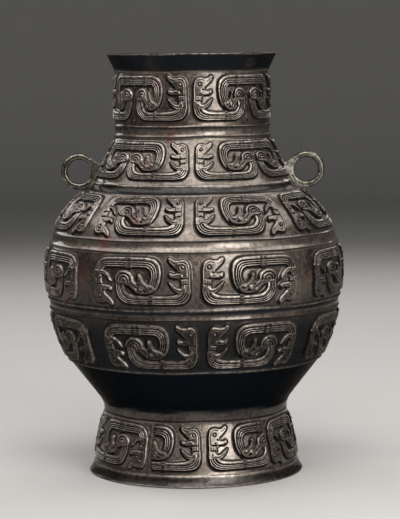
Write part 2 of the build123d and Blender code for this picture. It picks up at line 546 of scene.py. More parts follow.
def belly_arc(sizes: VesselSizes, radius: float, end_level: float, levels: np.ndarray,
              depth: float = 0.0) -> np.ndarray:
    """Points of the belly's arc that is upright at the equator and passes through one given end.

    Args:
        sizes: the vessel's sizes.
        radius: the radius at the arc's end.
        end_level: the level of the arc's end.
        levels: the levels at which points are wanted.
        depth: how far inside the surface the points lie.

    Returns:
        An array of (radius, level).
    """
    drop, rise = sizes.belly_radius - radius, end_level - sizes.equator
    bow = (drop**2 + rise**2) / (2 * drop)
    height = levels - sizes.equator
    shrink = (bow - depth) / bow
    reach = sizes.belly_radius - bow + np.sqrt(bow**2 - height**2) * shrink
    return np.stack([reach, sizes.equator + height * shrink], axis=1)


def body_profile(sizes: VesselSizes) -> TurnedProfile:
    """The body's closed profile: up the outside from the waist, over the lip, down inside to the spigot.

    Args:
        sizes: the vessel's sizes.

    Returns:
        The profile.
    """
    # Painted shade: the waist, the plain lower belly, the rim and the shoulder channel are darkened in the
    # colour, as if in shade.
    painted_shade_zones = {"waist": 1.0, "plain_belly": 1.0, "rim": 0.95, "shoulder_channel": 0.75}
    profile = TurnedProfile("body_profile", "rim", painted_shade_zones, sizes.waist_level + sizes.bright_waist)
    count = profile.zone_points

    def lower(low: float, high: float, depth: float = 0.0) -> np.ndarray:
        """A stretch of the lower belly's arc."""
        levels = np.linspace(low, high, count)
        return belly_arc(sizes, sizes.ridge_radius, sizes.ridge_level, levels, depth)

    def upper(low: float, high: float, depth: float = 0.0) -> np.ndarray:
        """A stretch of the upper belly's arc."""
        levels = np.linspace(low, high, count)
        return belly_arc(sizes, sizes.upper_band_radius, sizes.upper_band_top, levels, depth)

    ridge_foot = np.array([sizes.ridge_radius - sizes.ridge_step, sizes.ridge_level])
    center = np.array([sizes.waist_radius + sizes.waist_curve, sizes.waist_level])
    to_ridge = ridge_foot - center
    leave = math.atan2(to_ridge[1], to_ridge[0]) + math.acos(sizes.waist_curve / np.hypot(*to_ridge))
    angles = np.linspace(math.pi, leave, count)
    hollow = np.stack([np.cos(angles), np.sin(angles)], axis=1)
    profile.add("waist", center + hollow * sizes.waist_curve)
    profile.add_bow("plain_belly", profile.points[-1], ridge_foot)
    profile.add_bow("ridge", ridge_foot, (sizes.ridge_radius, sizes.ridge_level))
    profile.add("lower_band", lower(sizes.ridge_level, sizes.lower_band_top))
    middle = lower(sizes.middle_band_bottom, sizes.equator)
    profile.add_bow("lower_channel", profile.points[-1], middle[0], -sizes.channel_depth)
    profile.add("middle_band", np.vstack([middle, upper(sizes.equator, sizes.middle_band_top)[1:]]))
    above = upper(sizes.upper_band_bottom, sizes.upper_band_top)
    profile.add_bow("upper_channel", profile.points[-1], above[0], -sizes.channel_depth)
    profile.add("upper_band", above)
    shoulder = (sizes.shoulder_radius, sizes.shoulder_bottom), (sizes.neck_radius, sizes.shoulder_top)
    profile.add_bow("shoulder_channel", profile.points[-1], shoulder[0], -sizes.channel_depth)
    profile.add_bow("shoulder_band", *shoulder, -sizes.shoulder_hollow)
    neck = (sizes.neck_radius, sizes.neck_bottom)
    profile.add_bow("neck_channel", shoulder[1], neck, -sizes.channel_depth)
    profile.add_bow("neck_band", profile.points[-1], (sizes.neck_top_radius, sizes.neck_top))
    lip_edge = sizes.lip_level - sizes.bevel
    profile.add_bow("rim", profile.points[-1], (sizes.rim_radius, lip_edge), -sizes.rim_hollow)
    lip_inner = sizes.rim_radius - sizes.lip
    profile.add("lip", np.array([
        profile.points[-1], (sizes.rim_radius - sizes.bevel, sizes.lip_level),
        (lip_inner + sizes.bevel, sizes.lip_level), (lip_inner, lip_edge),
    ]))
    slope = np.subtract(shoulder[1], shoulder[0])
    inward = np.array([-slope[1], slope[0]]) / np.hypot(*slope) * sizes.wall
    shoulder_in = np.array(shoulder[0]) + inward
    neck_in = shoulder_in + slope * (sizes.mouth_radius - shoulder_in[0]) / slope[0]
    inside = [profile.points[-1], (sizes.mouth_radius, sizes.neck_top), tuple(neck_in), tuple(shoulder_in)]
    for number, (start, end) in enumerate(zip(inside, inside[1:])):
        profile.add_bow(f"inside_neck_{number}", start, end)
    inner_upper = upper(sizes.upper_band_top, sizes.equator, sizes.wall)
    inner_lower = lower(sizes.equator, sizes.ridge_level, sizes.wall)
    profile.add("inside_belly", np.vstack([inside[-1], inner_upper, inner_lower[1:]]))
    profile.add("inside_waist", np.vstack([
        profile.points[-1], (center + hollow * (sizes.waist_curve + sizes.wall))[::-1],
    ]))
    ledge_top = sizes.plate_top + sizes.ledge
    profile.add("underside", np.array([
        profile.points[-1], (sizes.waist_radius - sizes.wall, ledge_top), (sizes.ledge_radius, ledge_top),
        (sizes.ledge_radius, sizes.plate_top), (sizes.plate_radius, sizes.plate_top),
        (sizes.plate_radius, sizes.spigot_end), (sizes.spigot_radius, sizes.spigot_end),
        (sizes.spigot_radius, sizes.waist_level), (sizes.waist_radius, sizes.waist_level),
    ]))
    return profile


def foot_profile(sizes: VesselSizes) -> TurnedProfile:
    """The foot's closed profile: up the outside from the rest, into the socket and down inside.

    Args:
        sizes: the vessel's sizes.

    Returns:
        The profile.
    """
    # Painted shade on the foot's lower border.
    profile = TurnedProfile("foot_profile", "foot_band", {"border": 0.6})
    band_foot = (sizes.foot_band_radius, sizes.foot_band_bottom)
    waist = (sizes.waist_radius, sizes.waist_level)
    profile.add_bow("border", (sizes.foot_radius, sizes.bevel), band_foot, -sizes.foot_hollow)
    profile.add_bow("foot_band", band_foot, waist, sizes.foot_bulge)
    flange_bottom = sizes.spigot_end - sizes.flange
    flare = (band_foot[0] - waist[0]) / (waist[1] - band_foot[1])
    inner_top = sizes.waist_radius - sizes.foot_wall + flare * (sizes.waist_level - flange_bottom)
    socket = [
        waist, (sizes.spigot_radius, sizes.waist_level), (sizes.spigot_radius, sizes.spigot_end),
        (sizes.flange_radius, sizes.spigot_end), (sizes.flange_radius, flange_bottom),
        (inner_top, flange_bottom),
    ]
    profile.add("socket", np.array(socket))
    inner_low = (sizes.foot_band_radius - sizes.foot_wall, sizes.foot_band_bottom)
    rest_inner = sizes.foot_radius - sizes.foot_wall
    profile.add_bow("inside", socket[-1], inner_low)
    profile.add_bow("inside_border", inner_low, (rest_inner, sizes.bevel))
    profile.add("rest", np.array([
        profile.points[-1], (rest_inner + sizes.bevel, 0), (sizes.foot_radius - sizes.bevel, 0),
        (sizes.foot_radius, sizes.bevel),
    ]))
    return profile


# Node trees


# The numbers of a Mix node's two inputs and its output, for each kind of value.
MIX_SOCKETS = {"FLOAT": (2, 3, 0), "RGBA": (6, 7, 2)}


def feed(tree: NodeTree, node: Node, inputs: dict[Any, Any]) -> None:
    """Sets or links a node's inputs, given as values or sockets by name or number.

    Args:
        tree: the node's tree.
        node: the node.
        inputs: its inputs.
    """
    for key, value in inputs.items():
        if isinstance(value, NodeSocket):
            tree.links.new(value, node.inputs[key])
        else:
            node.inputs[key].default_value = value


def add(tree: NodeTree, kind: str, inputs: dict | None = None, **settings: Any) -> Node:
    """Adds a node to a tree.

    Args:
        tree: the tree.
        kind: the node's type.
        inputs: values or sockets for its inputs, by name or number.
        settings: values for the node's own settings.

    Returns:
        The node.
    """
    node = tree.nodes.new(kind)
    for key, value in settings.items():
        setattr(node, key, value)
    feed(tree, node, inputs or {})
    return node


def calc(tree: NodeTree, operation: str, *values: Any, clamp: bool = False) -> NodeSocket:
    """A Math node on values or sockets, and its result."""
    numbered = dict(enumerate(values))
    return add(tree, "ShaderNodeMath", numbered, operation=operation, use_clamp=clamp).outputs[0]


def times(tree: NodeTree, first: Any, second: Any) -> NodeSocket:
    """The product of two values or sockets."""
    return calc(tree, "MULTIPLY", first, second)


def rest_of(tree: NodeTree, share: NodeSocket) -> NodeSocket:
    """What a share leaves of one whole."""
    return calc(tree, "SUBTRACT", 1.0, share)


def blend(tree: NodeTree, share: Any, first: Any, second: Any, kind: str = "RGBA") -> NodeSocket:
    """A Mix node on two colours or, as FLOAT, on two values, and its result."""
    low, high, out = MIX_SOCKETS[kind]
    return add(tree, "ShaderNodeMix", {0: share, low: first, high: second}, data_type=kind).outputs[out]


def ranged(tree: NodeTree, value: Any, limits: Span, ends: Span = (0.0, 1.0),
           kind: str = "SMOOTHSTEP") -> NodeSocket:
    """A value that goes from one end to the other as a given one goes between two limits."""
    numbered = dict(enumerate((value, *limits, *ends)))
    return add(tree, "ShaderNodeMapRange", numbered, interpolation_type=kind).outputs[0]


def noise(tree: NodeTree, spot: Any, size: float, detail: float = 3.0) -> NodeSocket:
    """A Noise Texture whose lumps are about size millimetres across, and its value."""
    values = {"Vector": spot, "Scale": 1 / (size * MM), "Detail": detail}
    return add(tree, "ShaderNodeTexNoise", values).outputs[0]


def object_spot(tree: NodeTree) -> NodeSocket:
    """The place on the object, in metres, for noises that follow it."""
    return add(tree, "ShaderNodeTexCoord").outputs["Object"]


def new_tree(name: str, kind: str, inputs: dict[str, str], outputs: dict[str, str]) -> tuple[Any, Any, Any]:
    """A node group with named sockets.

    Args:
        name: the group's name.
        kind: its tree type.
        inputs: socket types of its inputs, by name.
        outputs: socket types of its outputs, by name.

    Returns:
        The tree, its input node and its output node.
    """
    tree = bpy.data.node_groups.new(name, kind)
    for direction, sockets in (("INPUT", inputs), ("OUTPUT", outputs)):
        for socket, socket_kind in sockets.items():
            tree.interface.new_socket(socket, in_out=direction, socket_type=f"NodeSocket{socket_kind}")
    return tree, tree.nodes.new("NodeGroupInput"), tree.nodes.new("NodeGroupOutput")


# The socket through which every tree takes in and puts out its geometry.
SHAPE = {"Geometry": "Geometry"}


def wrap_group() -> NodeTree:
    """The group that wraps a flat sheet round a profile: X is the turn, Y the length, Z the height.

    Returns:
        The tree.
    """
    tree, given, made = new_tree("wrap_on_profile", "GeometryNodeTree", {**SHAPE, "Profile": "Object"}, SHAPE)
    place = add(tree, "GeometryNodeInputPosition").outputs[0]
    turn, length, height = add(tree, "ShaderNodeSeparateXYZ", {0: place}).outputs
    curve = add(tree, "GeometryNodeObjectInfo", {"Object": given.outputs["Profile"]}).outputs["Geometry"]
    sample = add(tree, "GeometryNodeSampleCurve", {"Curves": curve, "Length": length}, mode="LENGTH")
    radius, _, level = add(tree, "ShaderNodeSeparateXYZ", {0: sample.outputs["Position"]}).outputs
    run_out, _, run_up = add(tree, "ShaderNodeSeparateXYZ", {0: sample.outputs["Tangent"]}).outputs
    reach = calc(tree, "ADD", radius, times(tree, height, run_up))
    spot = add(tree, "ShaderNodeCombineXYZ", {
        0: times(tree, reach, calc(tree, "SINE", turn)),
        1: times(tree, reach, times(tree, calc(tree, "COSINE", turn), -1.0)),
        2: calc(tree, "SUBTRACT", level, times(tree, height, run_out)),
    }).outputs[0]
    moved = add(tree, "GeometryNodeSetPosition", {"Geometry": given.outputs["Geometry"], "Position": spot})
    feed(tree, made, {"Geometry": moved.outputs[0]})
    return tree


def finish_tree(tree: NodeTree, geometry: NodeSocket, given: Node, made: Node) -> None:
    """The last nodes of a tree that makes a piece: smooth faces, no instances, one finish.

    Args:
        tree: the tree.
        geometry: what it has made so far.
        given: its input node.
        made: its output node.
    """
    smooth = add(tree, "GeometryNodeSetShadeSmooth", {"Geometry": geometry})
    real = add(tree, "GeometryNodeRealizeInstances", {"Geometry": smooth.outputs[0]})
    dressed = add(tree, "GeometryNodeSetMaterial", {
        "Geometry": real.outputs[0], "Material": given.outputs["Finish"],
    })
    feed(tree, made, {"Geometry": dressed.outputs[0]})


def turned_tree(wrap: NodeTree) -> NodeTree:
    """The tree that wraps a sheet once round its profile and closes its seams.

    Args:
        wrap: the wrapping group.

    Returns:
        The tree.
    """
    inputs = {**SHAPE, "Profile": "Object", "Seam": "Float", "Finish": "Material"}
    tree, given, made = new_tree("turned_casting", "GeometryNodeTree", inputs, SHAPE)
    wrapped = add(tree, "GeometryNodeGroup", {
        "Geometry": given.outputs["Geometry"], "Profile": given.outputs["Profile"],
    }, node_tree=wrap)
    closed = add(tree, "GeometryNodeMergeByDistance", {
        "Geometry": wrapped.outputs[0], "Distance": given.outputs["Seam"],
    })
    finish_tree(tree, closed.outputs[0], given, made)
    return tree


def frieze_tree(wrap: NodeTree) -> NodeTree:
    """The tree that sets dragon units on points, mirrors the left-handed ones and wraps them.

    Args:
        wrap: the wrapping group.

    Returns:
        The tree.
    """
    inputs = {**SHAPE, "Profile": "Object", "Units": "Collection", "Turn": "Float", "Scale": "Float",
              "Finish": "Material"}
    tree, given, made = new_tree("dragon_frieze", "GeometryNodeTree", inputs, SHAPE)
    side, variant = (
        add(tree, "GeometryNodeInputNamedAttribute", {"Name": name}, data_type=kind).outputs[0]
        for name, kind in (("side", "FLOAT"), ("variant", "INT"))
    )
    units = add(tree, "GeometryNodeCollectionInfo", {
        "Collection": given.outputs["Units"], "Separate Children": True, "Reset Children": True,
    })
    size = add(tree, "ShaderNodeCombineXYZ", {
        0: times(tree, side, given.outputs["Turn"]), 1: given.outputs["Scale"], 2: given.outputs["Scale"],
    })
    copies = add(tree, "GeometryNodeInstanceOnPoints", {
        "Points": given.outputs["Geometry"], "Instance": units.outputs[0], "Pick Instance": True,
        "Instance Index": variant, "Scale": size.outputs[0],
    })
    real = add(tree, "GeometryNodeRealizeInstances", {"Geometry": copies.outputs[0]})
    left = calc(tree, "LESS_THAN", side, 0.0)
    faced = add(tree, "GeometryNodeFlipFaces", {"Mesh": real.outputs[0], "Selection": left})
    wrapped = add(tree, "GeometryNodeGroup", {
        "Geometry": faced.outputs[0], "Profile": given.outputs["Profile"],
    }, node_tree=wrap)
    finish_tree(tree, wrapped.outputs[0], given, made)
    return tree


def grown(piece: Object, tree: NodeTree, values: dict[str, Any]) -> None:
    """Runs a tree on a piece and keeps the result as the piece's plain mesh.

    Args:
        piece: the object that holds the flat sheet or the points.
        tree: the Geometry Nodes tree.
        values: the tree's named inputs.
    """
    modifier = piece.modifiers.new(tree.name, "NODES")
    modifier.node_group = tree
    for item in tree.interface.items_tree:
        if item.in_out == "INPUT" and item.name in values:
            modifier[item.identifier] = values[item.name]
    keep_evaluated(piece)


def keep_evaluated(piece: Object) -> None:
    """Replaces a piece's mesh by its evaluated one and removes its modifiers.

    Args:
        piece: the piece.
    """
    graph = bpy.context.evaluated_depsgraph_get()
    flat = piece.data
    made = bpy.data.meshes.new_from_object(
        piece.evaluated_get(graph), preserve_all_data_layers=True, depsgraph=graph
    )
    piece.modifiers.clear()
    piece.data = made
    made.name = piece.name
    bpy.data.meshes.remove(flat)


# Finishes


@dataclass(frozen=True)
class Mottle:
    """Cloudy patina: two colours that pass into each other in lumps, and a finer speckle.

    Each noise is given by the size of its lumps in millimetres and its detail, or by the size alone.
    """

    cloud_detail: float = 5.0
    cloud_roughness: float = 0.62
    cloud_limits: Span = (0.36, 0.66)
    fleck: Span = (3.4, 4.0)
    fleck_limits: Span = (0.36, 0.64)
    fleck_share: float = 0.42
    grain: float = 1.6
    grain_limits: Span = (0.56, 0.74)
    grain_share: float = 0.55

    def tree(self) -> NodeTree:
        """The shader group that makes the patina's colour from three colours and a scale of its lumps.

        Returns:
            The tree.
        """
        inputs = {"Deep": "Color", "Light": "Color", "Speckle": "Color", "Lump": "Float"}
        tree, given, made = new_tree("patina_mottle", "ShaderNodeTree", inputs, {"Color": "Color"})
        spot = object_spot(tree)
        clouds = add(tree, "ShaderNodeTexNoise", {
            "Vector": spot, "Scale": given.outputs["Lump"], "Detail": self.cloud_detail,
            "Roughness": self.cloud_roughness,
        }).outputs[0]
        clouded = ranged(tree, clouds, self.cloud_limits)
        flecked = ranged(tree, noise(tree, spot, *self.fleck), self.fleck_limits)
        mask = blend(tree, self.fleck_share, clouded, flecked, "FLOAT")
        grains = ranged(tree, noise(tree, spot, self.grain), self.grain_limits)
        color = blend(tree, mask, given.outputs["Deep"], given.outputs["Light"])
        color = blend(tree, times(tree, grains, self.grain_share), color, given.outputs["Speckle"])
        feed(tree, made, {"Color": color})
        return tree


@dataclass(frozen=True)
class DirtWearAndShade:
    """Dirt in the hollows and rubbed metal on the ridges, from the painted stains, with the painted shadow
    and painted highlight that they also hold, and painted shade on the undersides.
    """

    patches: Span = (3.2, 4.0)
    patch_limits: Span = (0.34, 0.64)
    patch_shares: Span = (0.2, 1.25)
    dirt_limits: Span = (0.1, 0.75)
    lost_in_shade: float = 0.3

    def tree(self) -> NodeTree:
        """The shader group that stains and shades a colour and puts out masks of the dirt, painted shadow
        included, and of the clean metal out of painted shade.

        Returns:
            The tree.
        """
        inputs = {"Color": "Color", "Dirt": "Color", "Worn": "Color", "Under": "Color", "Rubbed": "Float"}
        outputs = {"Color": "Color", "Dirt Mask": "Float", "Polish": "Float"}
        tree, given, made = new_tree("dirt_and_wear", "ShaderNodeTree", inputs, outputs)
        dirt, wear, shade = (
            add(tree, "ShaderNodeAttribute", attribute_name=stain.value).outputs["Fac"]
            for stain in (StainAndPaintedLight.DIRT, StainAndPaintedLight.WEAR, StainAndPaintedLight.SHADE)
        )
        lumps = noise(tree, object_spot(tree), *self.patches)
        patchy = ranged(tree, lumps, self.patch_limits, self.patch_shares, "LINEAR")
        dirt_and_shadow = ranged(tree, dirt, self.dirt_limits)
        rubbed = calc(tree, "MULTIPLY", times(tree, wear, patchy), given.outputs["Rubbed"], clamp=True)
        # Wear and painted highlight show less under the painted shade.
        rubbed = times(tree, rubbed, rest_of(tree, times(tree, shade, self.lost_in_shade)))
        # Painted shade first, then dirt with painted shadow, then wear with painted highlight.
        color = blend(tree, shade, given.outputs["Color"], given.outputs["Under"])
        color = blend(tree, dirt_and_shadow, color, given.outputs["Dirt"])
        color = blend(tree, rubbed, color, given.outputs["Worn"])
        clean_unshaded = times(tree, rest_of(tree, dirt_and_shadow), rest_of(tree, shade))
        feed(tree, made, {"Color": color, "Dirt Mask": dirt_and_shadow, "Polish": clean_unshaded})
        return tree


@dataclass(frozen=True)
class RedSpot:
    """A place where red cuprite shows through: its turn from the front, level and radius out, and reach."""

    turn: float
    level: float
    radius: float
    reach: float

    @property
    def center(self) -> tuple[float, float, float]:
        """The spot's centre in metres.

        Returns:
            Its X, Y and Z.
        """
        angle = math.radians(self.turn)
        reach = self.radius * MM
        return reach * math.sin(angle), -reach * math.cos(angle), self.level * MM


RED_SPOTS = (
    RedSpot(-15, 294, 67, 9), RedSpot(-25, 338, 67, 7), RedSpot(-30, 351, 68, 9), RedSpot(-31, 267, 78, 7),
    RedSpot(-25, 226, 113, 7), RedSpot(-37, 204, 122, 12), RedSpot(-46, 178, 127, 9),
    RedSpot(-58, 158, 126, 12), RedSpot(-76, 94, 106, 14), RedSpot(47, 172, 127, 7), RedSpot(46, 350, 68, 7),
    RedSpot(-48, 30, 84, 9), RedSpot(141, 172, 127, 14), RedSpot(205, 262, 80, 16),
    RedSpot(172, 86, 100, 15), RedSpot(228, 30, 84, 12),
)


@dataclass(frozen=True)
class Bloom:
    """Red cuprite and green malachite: masks of ragged patches at given places and in scattered flecks."""

    spots: Sequence[RedSpot] = RED_SPOTS
    spot_fade: Span = (1.3, 0.3)
    ragged: Span = (6.0, 5.0)
    ragged_limits: Span = (0.34, 0.6)
    flecks: Span = (17.0, 6.0)
    fleck_limits: Span = (0.68, 0.78)
    fleck_share: float = 0.3
    green: Span = (13.0, 6.0)
    green_limits: Span = (0.58, 0.74)
    green_shift: tuple[float, float, float] = (0.31, 0.17, 0.23)

    def tree(self) -> NodeTree:
        """The shader group that puts out both masks.

        Returns:
            The tree.
        """
        tree, _, made = new_tree("cuprite_bloom", "ShaderNodeTree", {}, {"Red": "Float", "Green": "Float"})
        spot = object_spot(tree)
        total: Any = 0.0
        for red in self.spots:
            away = add(tree, "ShaderNodeVectorMath", {0: spot, 1: red.center}, operation="DISTANCE")
            limits = tuple(red.reach * MM * share for share in self.spot_fade)
            total = calc(tree, "MAXIMUM", total, ranged(tree, away.outputs["Value"], limits))
        ragged = ranged(tree, noise(tree, spot, *self.ragged), self.ragged_limits)
        flecks = ranged(tree, noise(tree, spot, *self.flecks), self.fleck_limits)
        shifted = add(tree, "ShaderNodeMapping", {"Vector": spot, "Location": self.green_shift}).outputs[0]
        feed(tree, made, {
            "Red": calc(tree, "MAXIMUM", times(tree, total, ragged), times(tree, flecks, self.fleck_share)),
            "Green": ranged(tree, noise(tree, shifted, *self.green), self.green_limits),
        })
        return tree


@dataclass(frozen=True)
class Grain:
    """The cast skin: fine grain, soft hammering by age and small pits, as a height and a roughness share."""

    fine: Span = (1.1, 4.0)
    soft: Span = (5.5, 3.0)
    pit_size: float = 4.2
    pit_limits: Span = (0.2, 0.06)
    height_shares: Span = (0.6, 0.9)
    rough_shares: Span = (0.4, 0.6)

    def tree(self) -> NodeTree:
        """The shader group that puts out the height and the roughness share for a depth of the pits.

        Returns:
            The tree.
        """
        outputs = {"Height": "Float", "Roughness": "Float"}
        tree, given, made = new_tree("cast_grain", "ShaderNodeTree", {"Pitting": "Float"}, outputs)
        spot = object_spot(tree)
        fine, soft = noise(tree, spot, *self.fine), noise(tree, spot, *self.soft)
        height, rough = (
            calc(tree, "ADD", times(tree, fine, fine_share), times(tree, soft, soft_share))
            for fine_share, soft_share in (self.height_shares, self.rough_shares)
        )
        cells = add(tree, "ShaderNodeTexVoronoi", {"Vector": spot, "Scale": 1 / (self.pit_size * MM)})
        deep = ranged(tree, cells.outputs["Distance"], self.pit_limits)
        pits = times(tree, deep, given.outputs["Pitting"])
        feed(tree, made, {"Height": calc(tree, "SUBTRACT", height, pits), "Roughness": rough})
        return tree


@dataclass(frozen=True)
class BronzeFinish:
    """An aged metal skin: its patina colours, the colours of its painted shade and highlight, how rough it is
    and how much its ridges are rubbed.
    """

    name: str
    deep: Color
    light: Color
    speckle: Color
    # The colour of dirt, also used for painted shadow.
    dirt: Color
    # The colour of worn metal, also used for painted highlight.
    worn_and_highlight: Color
    # The colour of the painted shade.
    under: Color
    red: Color = (0.085, 0.022, 0.017, 1)
    green: Color = (0.030, 0.042, 0.028, 1)
    lump: float = 26.0
    # How much the wear shows, painted highlight included.
    rubbed: float = 0.8
    red_share: float = 0.8
    green_share: float = 0.5
    red_in_dark: float = 0.2
    red_dulling: float = 0.55
    rough_limits: Span = (0.3, 0.7)
    roughness: Span = (0.20, 0.40)
    dirt_roughness: float = 0.7
    metallic: float = 0.92
    pitting: float = 0.5
    bump: float = 0.22
    bump_depth: float = 0.35
    edge_tint: Color = (0.36, 0.33, 0.30, 1)
    gloss: float = 0.25
    wax: float = 0.0
    wax_roughness: float = 0.09

    def material(self, groups: dict[str, NodeTree]) -> Material:
        """The finish as a material.

        Args:
            groups: the shared shader groups, by name.

        Returns:
            The material.
        """
        made = bpy.data.materials.new(self.name)
        made.use_nodes = True
        tree = made.node_tree
        shader = tree.nodes["Principled BSDF"]
        mottle = add(tree, "ShaderNodeGroup", {
            "Deep": self.deep, "Light": self.light, "Speckle": self.speckle, "Lump": self.lump,
        }, node_tree=groups["mottle"])
        bloom = add(tree, "ShaderNodeGroup", node_tree=groups["bloom"])
        green = times(tree, bloom.outputs["Green"], self.green_share)
        red = times(tree, bloom.outputs["Red"], self.red_share)
        wear = add(tree, "ShaderNodeGroup", {
            "Color": blend(tree, green, mottle.outputs["Color"], self.green), "Dirt": self.dirt,
            "Worn": self.worn_and_highlight, "Under": self.under, "Rubbed": self.rubbed,
        }, node_tree=groups["wear"])
        grain = add(tree, "ShaderNodeGroup", {"Pitting": self.pitting}, node_tree=groups["grain"])
        # Masks of dirt with painted shadow, and of clean metal out of painted shade.
        dirt_shadow_mask, polish = wear.outputs["Dirt Mask"], wear.outputs["Polish"]
        # Red shows less under dirt and painted shade.
        bare = calc(tree, "MULTIPLY_ADD", polish, 1 - self.red_in_dark, self.red_in_dark)
        rough = ranged(tree, grain.outputs["Roughness"], self.rough_limits, self.roughness, "LINEAR")
        dull = calc(tree, "MAXIMUM", times(tree, red, self.red_dulling), times(tree, dirt_shadow_mask, self.metallic))
        bump = add(tree, "ShaderNodeBump", {
            "Strength": self.bump, "Distance": self.bump_depth * MM, "Height": grain.outputs["Height"],
        })
        feed(tree, shader, {
            "Base Color": blend(tree, times(tree, red, bare), wear.outputs["Color"], self.red),
            "Roughness": blend(tree, dirt_shadow_mask, rough, self.dirt_roughness, "FLOAT"),
            "Metallic": calc(tree, "SUBTRACT", self.metallic, dull),
            "Specular Tint": self.edge_tint, "Specular IOR Level": self.gloss,
            "Coat Roughness": self.wax_roughness, "Normal": bump.outputs[0],
        })
        # The wax coat is left off under dirt and painted shade.
        if self.wax > 0:
            feed(tree, shader, {"Coat Weight": times(tree, polish, self.wax)})
        return made


# In each finish, dirt is also the colour of painted shadow, worn_and_highlight also that of painted
# highlight, and under that of the painted shade.
WALL_BRONZE = BronzeFinish(
    "dark_bronze_wall",
    deep=(0.046, 0.035, 0.028, 1), light=(0.182, 0.151, 0.127, 1), speckle=(0.034, 0.026, 0.021, 1),
    dirt=(0.008, 0.007, 0.0065, 1), worn_and_highlight=(0.33, 0.288, 0.254, 1), under=(0.0058, 0.0092, 0.0132, 1),
    bump=0.7, roughness=(0.25, 0.52), wax=0.6,
)
RELIEF_BRONZE = replace(
    WALL_BRONZE, name="dark_bronze_relief",
    dirt=(0.003, 0.0027, 0.0025, 1), worn_and_highlight=(0.38, 0.332, 0.292, 1), under=(0.013, 0.0125, 0.012, 1),
    rubbed=0.85, bump=0.45, roughness=(0.22, 0.46),
)
RING_BRONZE = BronzeFinish(
    "olive_bronze_ring",
    deep=(0.026, 0.025, 0.020, 1), light=(0.100, 0.096, 0.078, 1), speckle=(0.022, 0.022, 0.018, 1),
    dirt=(0.010, 0.010, 0.008, 1), worn_and_highlight=(0.48, 0.46, 0.39, 1), under=(0.04, 0.04, 0.034, 1),
    green=(0.042, 0.045, 0.034, 1), lump=90.0, green_share=0.4, red_share=0.3, pitting=0.9, bump=0.6,
)
INNER_BRONZE = BronzeFinish(
    "rough_bronze_inside",
    deep=(0.030, 0.027, 0.022, 1), light=(0.052, 0.047, 0.037, 1), speckle=(0.024, 0.026, 0.020, 1),
    dirt=(0.012, 0.011, 0.010, 1), worn_and_highlight=(0.10, 0.09, 0.08, 1), under=(0.02, 0.02, 0.018, 1),
    roughness=(0.5, 0.72), green_share=0.6, pitting=1.0, bump=0.5,
)
OLD_SOLDER = BronzeFinish(
    "old_solder",
    deep=(0.15, 0.14, 0.115, 1), light=(0.27, 0.255, 0.215, 1), speckle=(0.10, 0.095, 0.075, 1),
    dirt=(0.05, 0.045, 0.035, 1), worn_and_highlight=(0.32, 0.30, 0.26, 1), under=(0.05, 0.05, 0.043, 1),
    green=(0.09, 0.10, 0.065, 1), lump=160.0, roughness=(0.4, 0.6), metallic=0.72, red_share=0.2,
    pitting=0.8, bump=0.5,
)


# The dragon unit


@dataclass(frozen=True)
class Plate:
    """A raised shape: its outline's points, its height and how wide the slope at its edge is."""

    outline: Points
    height: float
    slope: float = 1.2
    stain: float = 0.0


@dataclass(frozen=True)
class Stroke:
    """A raised or sunk line: its path, half width and rise, which is negative for a groove."""

    path: Points
    width: float
    rise: float


@dataclass(frozen=True)
class Boss:
    """A small dome."""

    center: Span
    radius: float
    rise: float


